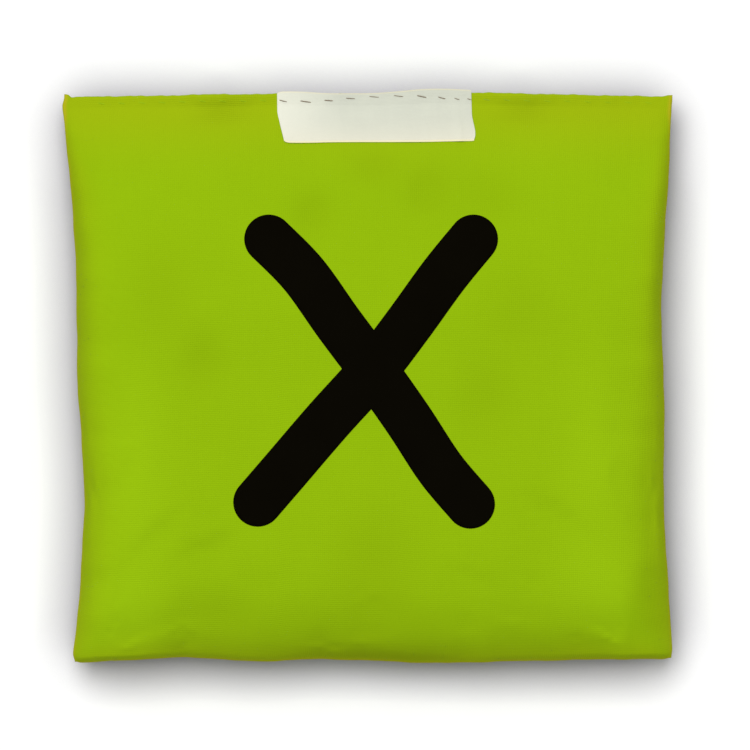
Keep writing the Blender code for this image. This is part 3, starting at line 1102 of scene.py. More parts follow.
def build_fuzz() -> bpy.types.NodeTree:
    """Makes the group of soft irregular fibre.

    Returns:
        The group, which puts out a fine grain and slow patches, each from 0 to 1.
    """
    tree, given, result = new_group(Effect.FUZZ, ("Grain Scale", "Patch Scale"), ("Grain", "Patches"))
    for output, scale, detail in (("Grain", "Grain Scale", 3.0), ("Patches", "Patch Scale", 2.0)):
        terms = {"Vector": given["Place"], "Scale": given[scale], "Detail": detail}
        noise = add_node(tree, "ShaderNodeTexNoise", terms)
        tree.links.new(noise.outputs["Fac"], result.inputs[output])
    return tree


# Finishes


@dataclass(frozen=True)
class Surface:
    """The values of a finish that stay the same all over, set on the shader's own sockets."""

    roughness: float
    specular: float
    sheen: float = 0.0
    sheen_roughness: float = 0.5

    def new_material(self, name: str, tint: Colour) -> tuple:
        """Starts a material.

        Args:
            name: Its name.
            tint: The colour of its sheen.

        Returns:
            The material, its tree and its Principled BSDF.
        """
        made = bpy.data.materials.new(name)
        made.use_nodes = True
        shader = made.node_tree.nodes["Principled BSDF"]
        values = {
            "Roughness": self.roughness,
            "Specular IOR Level": self.specular,
            "Sheen Weight": self.sheen,
            "Sheen Roughness": self.sheen_roughness,
            "Sheen Tint": (*tint, 1),
        }
        for socket, value in values.items():
            shader.inputs[socket].default_value = value
        return made, made.node_tree, shader


@dataclass(frozen=True)
class Fibres:
    """How fine a finish's fibres are, per metre, and how deep they lie."""

    grain: float
    patches: float
    depth: float

    def fuzz(self, tree: bpy.types.NodeTree, place: bpy.types.NodeSocket) -> bpy.types.bpy_prop_collection:
        """The outputs of the fuzz at this place."""
        inputs = {"Place": place, "Grain Scale": self.grain, "Patch Scale": self.patches}
        return Effect.FUZZ.place(tree, inputs)


@dataclass(frozen=True)
class Threads(Fibres):
    """How fine a cloth's threads are too, per metre, and how long its slubs run."""

    warp: float
    weft: float
    streaks: float
    streak_length: float

    def weave(self, tree: bpy.types.NodeTree, place: bpy.types.NodeSocket) -> bpy.types.bpy_prop_collection:
        """The outputs of the weave at this place."""
        inputs = {"Place": place, "Warp Threads": self.warp, "Weft Threads": self.weft}
        return Effect.WEAVE.place(tree, inputs)

    def slubs(self, tree: bpy.types.NodeTree, place: bpy.types.NodeSocket) -> bpy.types.NodeSocket:
        """The shade of the yarn's slubs at this place."""
        inputs = {"Place": place, "Streak Threads": self.streaks, "Streak Length": self.streak_length}
        return Effect.SLUBS.place(tree, inputs)["Shade"]


@dataclass(frozen=True)
class ClothFinish:
    """Matte woven cotton, a little warmer along its folded edges, with painted shade where it lies hollow and
    in the bottom seam's crease, and painted light on its swellings and along its right edge.
    """

    name: str
    colour: Colour = (0.302, 0.508, 0.0040)
    shade: Colour = (0.270, 0.462, 0.0030)
    plain_share: float = -0.02
    slub_share: float = 0.6
    patch_share: float = 0.55
    warp_share: float = 0.08
    # Colours of the painted shade in the hollows, the painted light on the swellings and right edge, and the
    # deeper painted shade in the bottom seam's crease.
    hollow: Colour = (0.268, 0.446, 0.0030)
    painted_crest_light: Colour = (0.330, 0.560, 0.0050)
    crease: Colour = (0.160, 0.265, 0.0020)
    warm: Colour = (0.350, 0.450, 0.0045)
    warm_share: float = 0.75
    edge_tint: Colour = (0.58, 0.40, 0.020)
    edge_share: float = 0.6
    worn_share: float = 0.3
    worn_grain_share: float = 0.8
    slub_height_share: float = 0.5
    grain_height_share: float = 0.35
    surface: Surface = Surface(roughness=0.92, specular=0.02, sheen=0.04)
    threads: Threads = Threads(
        grain=5200, patches=75, depth=0.00006, warp=2600, weft=2340, streaks=1300, streak_length=0.006
    )

    def build(self) -> bpy.types.Material:
        """Makes the material.

        Returns:
            The cloth's material.
        """
        made, tree, shader = self.surface.new_material(self.name, self.colour)
        place = read_attribute(tree, CUT_PLACE, "Vector")
        weave = self.threads.weave(tree, place)
        slubs = self.threads.slubs(tree, place)
        fuzz = self.threads.fuzz(tree, place)
        uneven = add_up(
            tree, self.plain_share,
            (slubs, self.slub_share), (fuzz["Patches"], self.patch_share), (weave["Warp"], self.warp_share),
        )
        yarn = blend_colours(tree, uneven, self.colour, self.shade)
        # The front's painted shade and light: darker in the hollows and the crease, paler on the swellings
        # and along the right edge.
        depth = read_attribute(tree, PAINTED_SHADE_AND_LIGHT)
        yarn = blend_colours(tree, depth, yarn, self.hollow)
        # Painted light on the swellings and along the right edge.
        yarn = blend_colours(tree, maths(tree, "MULTIPLY", depth, -1.0), yarn, self.painted_crest_light)
        # Deeper painted shade in the bottom seam's crease, past a full hollow.
        yarn = blend_colours(tree, maths(tree, "SUBTRACT", depth, 1.0), yarn, self.crease)
        warmth = maths(tree, "MULTIPLY", read_attribute(tree, EDGE_WARMTH), self.warm_share)
        yarn = blend_colours(tree, warmth, yarn, self.warm)
        grain = add_up(tree, self.worn_share, (fuzz["Grain"], self.worn_grain_share))
        worn = maths(tree, "MULTIPLY", read_attribute(tree, FOLD_NEARNESS), grain)
        colour = blend_colours(tree, maths(tree, "MULTIPLY", worn, self.edge_share), yarn, self.edge_tint)
        tree.links.new(colour, shader.inputs["Base Color"])
        parts = (slubs, self.slub_height_share), (fuzz["Grain"], self.grain_height_share)
        add_bump(tree, shader, add_up(tree, weave["Height"], *parts), self.threads.depth)
        return made


@dataclass(frozen=True)
class InkFinish:
    """Flat black textile print, through which the weave still shows."""

    name: str = "black_print"
    colour: Colour = (0.0028, 0.0022, 0.0010)
    thin: Colour = (0.0036, 0.0030, 0.0014)
    surface: Surface = Surface(roughness=0.7, specular=0.0)
    grain_roughness_share: float = 0.2
    grain_height_share: float = 0.6
    threads: Threads = Threads(
        grain=2600, patches=110, depth=0.00003, warp=2600, weft=2340, streaks=1300, streak_length=0.006
    )

    def build(self) -> bpy.types.Material:
        """Makes the material.

        Returns:
            The ink's material.
        """
        made, tree, shader = self.surface.new_material(self.name, self.colour)
        place = read_attribute(tree, CUT_PLACE, "Vector")
        weave = self.threads.weave(tree, place)
        fuzz = self.threads.fuzz(tree, place)
        colour = blend_colours(tree, fuzz["Patches"], self.colour, self.thin)
        tree.links.new(colour, shader.inputs["Base Color"])
        rough = add_up(tree, self.surface.roughness, (fuzz["Grain"], self.grain_roughness_share))
        tree.links.new(rough, shader.inputs["Roughness"])
        height = add_up(tree, weave["Height"], (fuzz["Grain"], self.grain_height_share))
        add_bump(tree, shader, height, self.threads.depth)
        return made


@dataclass(frozen=True)
class TapeFinish:
    """Off-white satin tape with fine cross ribs, paler toward its left end as painted light, and toward its
    dense free edge a warmer tone that also carries painted light.
    """

    name: str = "satin_tape"
    colour: Colour = (0.68, 0.70, 0.585)
    shade: Colour = (0.59, 0.61, 0.52)
    plain_share: float = -0.4
    patch_share: float = 1.2
    slub_share: float = 0.4
    # Painted light: the tape is paler toward its left end.
    light: Colour = (0.88, 0.88, 0.75)
    painted_light_reach: float = 0.013
    painted_light_share: float = 0.7
    # Toward the free edge the tape is a warmer tone and paler, the paleness painted light.
    warm: Colour = (0.79, 0.765, 0.62)
    warm_power: float = 3.0
    warm_share: float = 0.8
    selvedge: Colour = (0.90, 0.81, 0.49)
    selvedge_share: float = 0.85
    free_edge_shares: tuple[float, float] = (0.955, 0.985)
    sewn_edge_shares: tuple[float, float] = (0.035, 0.005)
    sewn_edge_strength: float = 0.5
    slub_height_share: float = 0.8
    grain_height_share: float = 0.4
    surface: Surface = Surface(roughness=0.6, specular=0.12, sheen=0.05)
    threads: Threads = Threads(
        grain=5000, patches=130, depth=0.00004, warp=5200, weft=3400, streaks=1500, streak_length=0.009
    )

    def build(self, length: float) -> bpy.types.Material:
        """Makes the material.

        Args:
            length: The tape's length from its sewn to its free edge.

        Returns:
            The tape's material.
        """
        made, tree, shader = self.surface.new_material(self.name, self.colour)
        place = read_attribute(tree, CUT_PLACE, "Vector")
        weave = self.threads.weave(tree, place)
        slubs = self.threads.slubs(tree, place)
        fuzz = self.threads.fuzz(tree, place)
        spot = add_node(tree, "ShaderNodeSeparateXYZ", {0: place}).outputs
        lower = maths(tree, "DIVIDE", spot["Y"], length)
        # Painted light, fading in from the left end.
        left = maths(tree, "MAXIMUM", maths(tree, "MULTIPLY_ADD", spot["X"], -1 / self.painted_light_reach, 1.0), 0.0)
        # Toward the free edge: a warmer tone with painted light.
        warmth = maths(tree, "POWER", maths(tree, "MAXIMUM", lower, 0.0), self.warm_power)
        uneven = add_up(tree, self.plain_share, (fuzz["Patches"], self.patch_share), (slubs, self.slub_share))
        base = blend_colours(tree, uneven, self.colour, self.shade)
        base = blend_colours(tree, maths(tree, "MULTIPLY", left, self.painted_light_share), base, self.light)
        base = blend_colours(tree, maths(tree, "MULTIPLY", warmth, self.warm_share), base, self.warm)
        free, sewn = (
            add_node(tree, "ShaderNodeMapRange", {"Value": lower, "From Min": start, "From Max": end})
            for start, end in (self.free_edge_shares, self.sewn_edge_shares)
        )
        faint = maths(tree, "MULTIPLY", sewn.outputs[0], self.sewn_edge_strength)
        dense = maths(tree, "MAXIMUM", free.outputs[0], faint)
        colour = blend_colours(tree, maths(tree, "MULTIPLY", dense, self.selvedge_share), base, self.selvedge)
        tree.links.new(colour, shader.inputs["Base Color"])
        parts = (slubs, self.slub_height_share), (fuzz["Grain"], self.grain_height_share)
        add_bump(tree, shader, add_up(tree, weave["Height"], *parts), self.threads.depth)
        return made


@dataclass(frozen=True)
class ThreadFinish:
    """Twisted sewing thread, which may have another colour where it crosses the label."""

    name: str
    colour: Colour
    shade: Colour
    on_label: Colour | None = None
    surface: Surface = Surface(roughness=0.75, specular=0.08, sheen=0.05)
    fibres: Fibres = Fibres(grain=7000, patches=500, depth=0.00002)

    def build(self) -> bpy.types.Material:
        """Makes the material.

        Returns:
            The thread's material.
        """
        made, tree, shader = self.surface.new_material(self.name, self.colour)
        fuzz = self.fibres.fuzz(tree, read_attribute(tree, CUT_PLACE, "Vector"))
        colour = blend_colours(tree, fuzz["Patches"], self.colour, self.shade)
        if self.on_label:
            colour = blend_colours(tree, read_attribute(tree, OVER_LABEL), colour, self.on_label)
        tree.links.new(colour, shader.inputs["Base Color"])
        add_bump(tree, shader, fuzz["Grain"], self.fibres.depth)
        return made


@dataclass(frozen=True)
class PelletFinish:
    """Milky moulded pellets."""

    name: str = "plastic_pellets"
    colour: Colour = (0.74, 0.74, 0.70)
    shade: Colour = (0.58, 0.60, 0.55)
    surface: Surface = Surface(roughness=0.4, specular=0.4)
    fibres: Fibres = Fibres(grain=2500, patches=260, depth=0.00003)

    def build(self) -> bpy.types.Material:
        """Makes the material.

        Returns:
            The pellets' material.
        """
        made, tree, shader = self.surface.new_material(self.name, self.colour)
        fuzz = self.fibres.fuzz(tree, add_node(tree, "ShaderNodeTexCoord").outputs["Object"])
        colour = blend_colours(tree, fuzz["Patches"], self.colour, self.shade)
        tree.links.new(colour, shader.inputs["Base Color"])
        add_bump(tree, shader, fuzz["Grain"], self.fibres.depth)
        return made


# The sewn covers


@dataclass
class ClothCovers:
    """The front and back covers, with their folded seams."""

    surface: CoverSurface
    columns: int = 250
    rows: int = 190
    crowding_across: float = 0.30
    crowding_down: float = 0.50
    fold_steps: int = 8
    allowance: float = 0.0030
    allowance_shares: Shares = (0.3, 1.0)
    narrow_share: float = 0.2
    narrow_vertices: int = 14
    nearness_reach: float = 0.00030
    hem_warmth_reach: float = 0.0100
    side_warmth_reach: float = 0.0026
    fill: float = 0.7

    def build(self, side: Side, name: str, finish: bpy.types.Material, node: str) -> bpy.types.Object:
        """Makes one cover.

        Args:
            side: The front or the back.
            name: The piece's name.
            finish: Its cloth.
            node: The node it stands for.

        Returns:
            The piece.
        """
        form = self.surface.form
        u, v = np.meshgrid(graded(self.columns, self.crowding_across), graded(self.rows, self.crowding_down))
        face = self.surface.points(side, u, v)
        chains = self._folds(side, face, u, v)
        points = np.vstack([face.reshape(-1, 3), chains.reshape(-1, 3)])
        loops = [self.rim.numbers]
        count, length = u.size, len(self.rim.numbers)
        loops += [count + k * length + np.arange(length) for k in range(len(chains))]
        faces = [grid_quads(self.columns, self.rows)] + [band_quads(a, b) for a, b in zip(loops, loops[1:])]
        faces = np.vstack(faces)
        if side is Side.BACK:
            faces = faces[:, ::-1]
        border = loops[-1][::-1] if side is Side.BACK else loops[-1]
        points, faces = shell(points, faces, border, form.cloth)
        made = mesh_object(name, points, faces, finish)
        place = self._cut_places(face, len(chains))
        set_attribute(made, CUT_PLACE, np.vstack([place, place]))
        # The front carries its painted shade and light; the back has none.
        hollow = form.hollow(u, v) if side is Side.FRONT else np.zeros_like(u)
        for attribute, field in zip((FOLD_NEARNESS, EDGE_WARMTH, PAINTED_SHADE_AND_LIGHT), (*self._edge_fields(u, v), hollow)):
            values = self._with_folds(field, len(chains))
            set_attribute(made, attribute, np.concatenate([values, values]))
        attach(made, COVER_BODY)
        return dress(made, (node,))

    @cached_property
    def rim(self) -> Rim:
        """The edge of the cover's grid."""
        return Rim(self.columns, self.rows)

    def _folds(self, side: Side, face: Array, u: Array, v: Array) -> Array:
        """Turns the cloth round each edge and in behind it.

        Args:
            side: The front or the back.
            face: Points of the cover's face.
            u: Their shares across.
            v: Their shares down.

        Returns:
            Loops of points round the bag, those of the half turn and then those of the allowance.
        """
        form = self.surface.form
        columns, rows = self.rim.places
        edge, ways = face[rows, columns], self.rim.ways
        up = np.array([0, 0, float(side.value)])
        lean = np.where(rows == 0, 0, form.lean(v[rows, columns]))[:, None]
        seam = form.seam(u[rows, columns], v[rows, columns]) + side.value * form.seam_gap / 2
        centre = np.stack([edge[:, 0], edge[:, 1], seam + side.value * form.fold_radius], -1)
        centre -= form.fold_radius * ways * np.sin(lean)
        loops = []
        for step in range(1, self.fold_steps + 1):
            turn = lean + (math.pi - lean) * step / self.fold_steps
            loops.append(centre + form.fold_radius * (ways * np.sin(turn) + up * np.cos(turn)))
        narrow = np.clip(self.rim.from_corner / self.narrow_vertices, self.narrow_share, 1)[:, None]
        for share in self.allowance_shares:
            loops.append(loops[self.fold_steps - 1] - ways * self.allowance * share * narrow)
        return np.array(loops)

    def _cut_places(self, face: Array, loops: int) -> Array:
        """Lays the sewn cloth flat again, for the weave to follow.

        Args:
            face: Points of the cover's face.
            loops: How many loops of points its folds have.

        Returns:
            Where each vertex lay on the flat cloth.
        """
        across = np.linalg.norm(np.diff(face, axis=1), axis=2)
        down = np.linalg.norm(np.diff(face, axis=0), axis=2)
        s = np.concatenate([np.zeros((face.shape[0], 1)), np.cumsum(across, 1)], 1)
        t = np.concatenate([np.zeros((1, face.shape[1])), np.cumsum(down, 0)], 0)
        s -= s[:, -1:] / 2
        t -= t[-1:, :] / 2
        flat = np.stack([s, -t, np.zeros_like(s)], -1)
        columns, rows = self.rim.places
        step = math.pi * self.surface.form.fold_radius / self.fold_steps
        turned = [flat[rows, columns] + self.rim.ways * step * (k + 1) for k in range(loops)]
        return np.vstack([flat.reshape(-1, 3), *turned])

    def _edge_fields(self, u: Array, v: Array) -> tuple[Array, Array]:
        """Finds what lies near the cover's edges, for the cloth's tone.

        Args:
            u: Shares across.
            v: Shares down.

        Returns:
            How near each place is to a folded side or bottom edge, and how warm its colour is.
        """
        form = self.surface.form
        across, down = u * form.top_width, v * form.cover_height
        sides = np.minimum.reduce([across, form.top_width - across, form.cover_height - down])
        near = np.exp(-((sides / self.nearness_reach) ** 2))
        hem = np.exp(-((down / self.hem_warmth_reach) ** 2))
        return near, np.maximum(hem, np.exp(-sides / self.side_warmth_reach))

    def _with_folds(self, field: Array, loops: int) -> Array:
        """A field over the face, carried on round the folds and along the allowance."""
        return np.concatenate([field.ravel(), np.tile(field.ravel()[self.rim.numbers], loops)])


# What fills, prints and labels the bag


@dataclass
class PelletCharge:
    """The loose charge of pellets, as its lumpy bulk."""

    surface: CoverSurface
    side_inset: float = 0.0068
    top_inset: float = 0.00748
    skin: float = 0.0014
    least_share: float = 0.25
    round_share: float = 0.35
    columns: int = 120
    rows: int = 112
    pellet: float = 0.0036
    row_share: float = 0.87
    jitter_share: float = 0.22
    hollow_share: float = 0.62
    roundness: float = 0.98
    spread: float = 0.12
    spread_left: float = -0.064
    spread_low: float = -0.060
    lump: float = 0.0007
    seed: int = 7

    def build(self, finish: bpy.types.Material) -> bpy.types.Object:
        """Makes the charge.

        Args:
            finish: The pellets.

        Returns:
            The piece.
        """
        s, t = np.meshgrid(np.linspace(-1, 1, self.columns + 1), np.linspace(-1, 1, self.rows + 1))
        across = s * np.sqrt(1 - self.round_share * t * t / 2)
        down = t * np.sqrt(1 - self.round_share * s * s / 2)
        form = self.surface.form
        u = mix(self.side_inset / form.top_width, 1 - self.side_inset / form.top_width, (1 + across) / 2)
        v = mix(self.top_inset / form.cover_height, 1 - self.side_inset / form.cover_height, (1 + down) / 2)
        skins = []
        for side in Side:
            skin = self.surface.points(side, u, v)
            skin[..., 2] -= side.value * (self.skin + self._lumps(skin))
            skins.append(skin)
        middle = (skins[0][..., 2] + skins[1][..., 2]) / 2
        for side, skin in zip(Side, skins):
            least = middle + side.value * self.lump * self.least_share
            outer = np.maximum if side is Side.FRONT else np.minimum
            skin[..., 2] = outer(skin[..., 2], least)
        points = np.vstack([skin.reshape(-1, 3) for skin in skins])
        made = mesh_object("pellet_charge", points, pillow_quads(self.columns, self.rows), finish)
        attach(made, COVER_BODY)
        return dress(made, ("pellet_fill",))

    def _lumps(self, skin: Array) -> Array:
        """Packs pellets in uneven rows.

        Args:
            skin: Points of the bulk's skin.

        Returns:
            How far below the pellets' crests each point lies.
        """
        rng = np.random.default_rng(self.seed)
        rows = int(self.spread / (self.pellet * self.row_share)) + 2
        tree = KDTree(rows * rows)
        index = 0
        for row in range(rows):
            for column in range(rows):
                jitter = rng.uniform(-self.jitter_share, self.jitter_share, 2) * self.pellet
                x = (column + 0.5 * (row % 2)) * self.pellet + self.spread_left + jitter[0]
                y = row * self.pellet * self.row_share + self.spread_low + jitter[1]
                tree.insert((x, y, 0), index)
                index += 1
        tree.balance()
        away = [tree.find((x, y, 0))[2] for x, y in skin[..., :2].reshape(-1, 2)]
        near = np.clip(np.array(away).reshape(skin.shape[:2]) / (self.pellet * self.hollow_share), 0, 1)
        return self.lump * (1 - np.sqrt(1 - near**2 * self.roundness))


@dataclass
class PrintedCross:
    """The cross printed on the front in one thin layer of ink."""

    surface: CoverSurface
    width: float = 0.0519
    height: float = 0.0616
    stroke: float = 0.0096
    x: float = -0.0003
    y: float = 0.0008
    lift: float = 0.00006
    sunk: float = 0.00008
    pitch: float = 0.0009
    row_share: float = 0.87
    clear_share: float = 0.4
    steps: int = 90
    end_steps: int = 22
    tolerance: float = 0.0000004
    falling_shares: tuple[tuple[float, float], ...] = (
        (-0.90, 1), (-0.575, 0.73), (-0.25, 0.36), (0.08, 0), (0.40, -0.37), (0.69, -0.73), (0.97, -1),
    )
    rising_shares: tuple[tuple[float, float], ...] = (
        (1, 1), (0.72, 0.72), (0.40, 0.36), (0.07, 0.01), (-0.35, -0.37), (-0.73, -0.73), (-1, -0.985),
    )

    def build(self, finish: bpy.types.Material) -> bpy.types.Object:
        """Makes the print, laid on the settled front.

        Args:
            finish: The ink.

        Returns:
            The piece.
        """
        lines = [self._line(shares) for shares in (self.falling_shares, self.rising_shares)]
        outlines = [self._outline(line) for line in lines]
        inner = self._inner_points(lines)
        loops, first = [], 0
        for outline in outlines:
            loops.append(list(range(first, first + len(outline))))
            first += len(outline)
        spots = [Vector(spot) for spot in np.vstack([*outlines, inner])]
        flat, _, faces, *_ = delaunay_2d_cdt(spots, [], loops, 1, self.tolerance)
        xy = np.array([tuple(spot) for spot in flat])
        z = self.surface.level(Side.FRONT, xy[:, 0], xy[:, 1])
        mesh = bmesh.new()
        corners = [mesh.verts.new((x, y, level + self.lift)) for (x, y), level in zip(xy, z)]
        for face in faces:
            mesh.faces.new([corners[k] for k in face])
        bmesh.ops.recalc_face_normals(mesh, faces=mesh.faces[:])
        mesh.faces.ensure_lookup_table()
        if mesh.faces[0].normal.z < 0:
            bmesh.ops.reverse_faces(mesh, faces=mesh.faces[:])
        bmesh.ops.solidify(mesh, geom=mesh.faces[:], thickness=self.lift + self.sunk)
        points, faces = in_fixed_order(mesh)
        mesh.free()
        made = mesh_object("printed_cross", points, faces, finish)
        set_attribute(made, CUT_PLACE, points)
        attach(made, COVER_BODY)
        return dress(made, ("cross_print",))

    def _line(self, shares: tuple[tuple[float, float], ...]) -> Array:
        """Draws one stroke.

        Args:
            shares: Points along it, as shares of the cross's half width and half height.

        Returns:
            Closely spaced points along its middle.
        """
        t = np.linspace(0, 1, self.steps + 1)
        reach_x, reach_y = (self.width - self.stroke) / 2, (self.height - self.stroke) / 2
        x = self.x + reach_x * along(tuple(s[0] for s in shares), t)
        return np.stack([x, self.y + reach_y * along(tuple(s[1] for s in shares), t)], -1)

    def _outline(self, line: Array) -> Array:
        """Widens one stroke to its full width, with round ends.

        Args:
            line: Points along its middle.

        Returns:
            Points round it.
        """
        way = np.gradient(line, axis=0)
        way /= np.linalg.norm(way, axis=1, keepdims=True)
        aside = np.stack([-way[:, 1], way[:, 0]], -1) * self.stroke / 2
        left, right = line + aside, line - aside
        turns = math.pi * np.arange(1, self.end_steps) / self.end_steps
        ends = []
        for centre, start in ((line[-1], left[-1]), (line[0], right[0])):
            arm = start - centre
            x = arm[0] * np.cos(turns) + arm[1] * np.sin(turns)
            y = arm[1] * np.cos(turns) - arm[0] * np.sin(turns)
            ends.append(centre + np.stack([x, y], -1))
        return np.vstack([left, ends[0], right[::-1], ends[1]])

    def _inner_points(self, lines: list[Array]) -> Array:
        """Spreads points over the strokes, so that the ink bends with the cloth.

        Args:
            lines: The strokes' middle lines.

        Returns:
            Even rows of points well inside the strokes.
        """
        half_x, half_y = self.width / 2, self.height / 2
        columns = np.arange(self.x - half_x, self.x + half_x, self.pitch)
        rows = np.arange(self.y - half_y, self.y + half_y, self.pitch * self.row_share)
        x, y = np.meshgrid(columns, rows)
        x = x + np.where(np.arange(len(rows)) % 2, 0.5 * self.pitch, 0)[:, None]
        spots = np.stack([x.ravel(), y.ravel()], -1)
        line = np.vstack(lines)
        away = np.min(np.linalg.norm(spots[:, None] - line[None], axis=2), axis=1)
        return spots[away < self.stroke / 2 - self.pitch * self.clear_share]


@dataclass
class TapeLabel:
    """The bare tape label: sewn into the hem along its top and free below."""

    surface: CoverSurface
    width: float = 0.0383
    length: float = 0.0104
    thickness: float = 0.00009
    columns: int = 150
    rows: int = 52
    wave: float = 0.0010
    left_lean: float = 0.0016
    right_lean: float = 0.0008
    top_wave_shares: Shares = (-0.48, -0.52, -0.82, -0.84, -0.80, -0.46, -0.02, 0.04, -0.16)
    bottom_wave_shares: Shares = (-0.30, -0.30, -0.20, -0.16, -0.16, -0.15, -0.12, -0.02, 0.05)
    left_lean_shares: Shares = (0, 0.01, 0.02, 0.03, 0.05, 0.17, 0.31, 0.45, 0.60, 0.74, 0.88)
    right_lean_shares: Shares = (0, 0.03, 0.06, 0.10, 0.12, 0.17, 0.40, 0.68, 0.92, 0.95, 0.65)
    corner_radius: float = 0.0004
    right_corner_share: float = 0.2
    gap: float = 0.00004
    free_gap: float = 0.00003
    loose_from_share: float = 0.2
    flutter: float = 0.00005
    flutter_waves: tuple[tuple[float, float, float, float], ...] = ((1.7, 0.1, 0, 1), (3.9, 0.45, 0.2, 0.6))
    crease_share: float = 0.925
    crease_height: float = 0.00018
    crease_width: float = 0.0009
    crease_from_share: float = 0.3
    corner_curl: float = 0.0001
    curl_reach: float = 0.004
    curl_from_share: float = 0.5
    crowding: float = 0.2
    bend_start: float = 0.00048
    bend_length: float = 0.0016
    sharp_angle: float = math.radians(50)

    def build(self, finish: bpy.types.Material) -> bpy.types.Object:
        """Makes the label, laid on the settled front and standing a little off it toward its free edge.

        Args:
            finish: The tape.

        Returns:
            The piece.
        """
        s, t = np.meshgrid(graded(self.columns, self.crowding), graded(self.rows, self.crowding))
        x, y = self.places(s, t)
        lower = self.surface.level(Side.FRONT, x, y) + self.gap_at(s, t)
        face = np.stack([x, y, lower + self.thickness], -1)
        rim = Rim(self.columns, self.rows).numbers
        points, faces = shell(face.reshape(-1, 3), grid_quads(self.columns, self.rows), rim, self.thickness)
        made = mesh_object("tape_label", points, faces, finish)
        made.data.set_sharp_from_angle(angle=self.sharp_angle)
        place = np.stack([s * self.width, t * self.length, np.zeros_like(s)], -1).reshape(-1, 3)
        set_attribute(made, CUT_PLACE, np.vstack([place, place]))
        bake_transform(made)
        return dress(made, ("label_heading", "label_flap"))

    @cached_property
    def corner(self) -> tuple[float, float]:
        """X and y of the tape's top left corner, where the model's heading has it."""
        low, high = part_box("label_heading")
        return low.x, high.y

    def places(self, s: Array, t: Array) -> tuple[Array, Array]:
        """Lays the tape out in the shape that it was cut to.

        Args:
            s: Shares across.
            t: Shares down.

        Returns:
            X and y at those shares.
        """
        left_x, top_y = self.corner
        left = left_x + self.left_lean * along(self.left_lean_shares, t)
        right = left_x + self.width + self.right_lean * along(self.right_lean_shares, t)
        x = mix(left, right, s)
        left_corner = np.exp(-s * self.width / self.corner_radius)
        right_corner = self.right_corner_share * np.exp(-(1 - s) * self.width / self.corner_radius)
        clipped = self.corner_radius * (left_corner + right_corner)
        top = top_y + self.wave * along(self.top_wave_shares, s) - clipped
        bottom = top_y - self.length + self.wave * along(self.bottom_wave_shares, s) + clipped
        return x, mix(top, bottom, t)

    def gap_at(self, s: Array, t: Array) -> Array:
        """Lets the tape, which is pressed on at the stitches, stand off the cloth toward its free edge.

        Each of its waves has a count across, a share of a turn, a slant and a height.

        Args:
            s: Shares across.
            t: Shares down.

        Returns:
            How far it stands off at each place.
        """
        loose, creased, curled = (
            smooth_step((t - start) / (1 - start))
            for start in (self.loose_from_share, self.crease_from_share, self.curl_from_share)
        )
        waves = sum(
            height * np.sin(math.tau * (count * s + turn + slant * t))
            for count, turn, slant, height in self.flutter_waves
        )
        crease = np.exp(-(((s - self.crease_share) * self.width / self.crease_width) ** 2))
        curl = np.exp(-(s * self.width / self.curl_reach))
        return (
            self.gap
            + self.free_gap * loose
            + self.flutter * loose * (1 + waves / 2)
            + self.crease_height * crease * creased
            + self.corner_curl * curl * curled
        )


# Sewing thread

PLY_SHARE = 0.56
UPRIGHT_BELOW = 0.2


def twisted_thread(line: Array, radius: float, twist: float, plies: int = 2, sides: int = 7) -> tuple:
    """Makes a thread of twisted plies along a line.

    Args:
        line: Closely spaced points along its middle.
        radius: The whole thread's radius.
        twist: The length of one full turn of the plies.
        plies: How many plies it has.
        sides: How many sides each ply has.

    Returns:
        The vertices and faces of all plies, each a closed body.
    """
    way = np.gradient(line, axis=0)
    way /= np.maximum(np.linalg.norm(way, axis=1, keepdims=True), 1e-12)
    aside = np.cross(way, [0, 0, 1])
    upright = np.linalg.norm(aside, axis=1) < UPRIGHT_BELOW
    aside[upright] = np.cross(way[upright], [0, 1, 0])
    aside /= np.linalg.norm(aside, axis=1, keepdims=True)
    up = np.cross(aside, way)
    run = np.concatenate([[0], np.cumsum(np.linalg.norm(np.diff(line, axis=0), axis=1))])
    ply_radius = radius * PLY_SHARE
    points, faces, first = [], [], 0
    turns = math.tau * np.arange(sides) / sides
    for ply in range(plies):
        angle = math.tau * (run / twist + ply / plies)
        offset = (radius - ply_radius) * (aside * np.cos(angle)[:, None] + up * np.sin(angle)[:, None])
        ring = ply_radius * (aside[:, None] * np.cos(turns)[:, None] + up[:, None] * np.sin(turns)[:, None])
        points.append((line[:, None] + offset[:, None] + ring).reshape(-1, 3))
        count = len(line)
        index = first + np.arange(count * sides).reshape(count, sides)
        for k in range(count - 1):
            faces += band_quads(index[k + 1], index[k]).tolist()
        faces += [index[0].tolist(), index[-1][::-1].tolist()]
        first += count * sides
    return np.vstack(points), faces


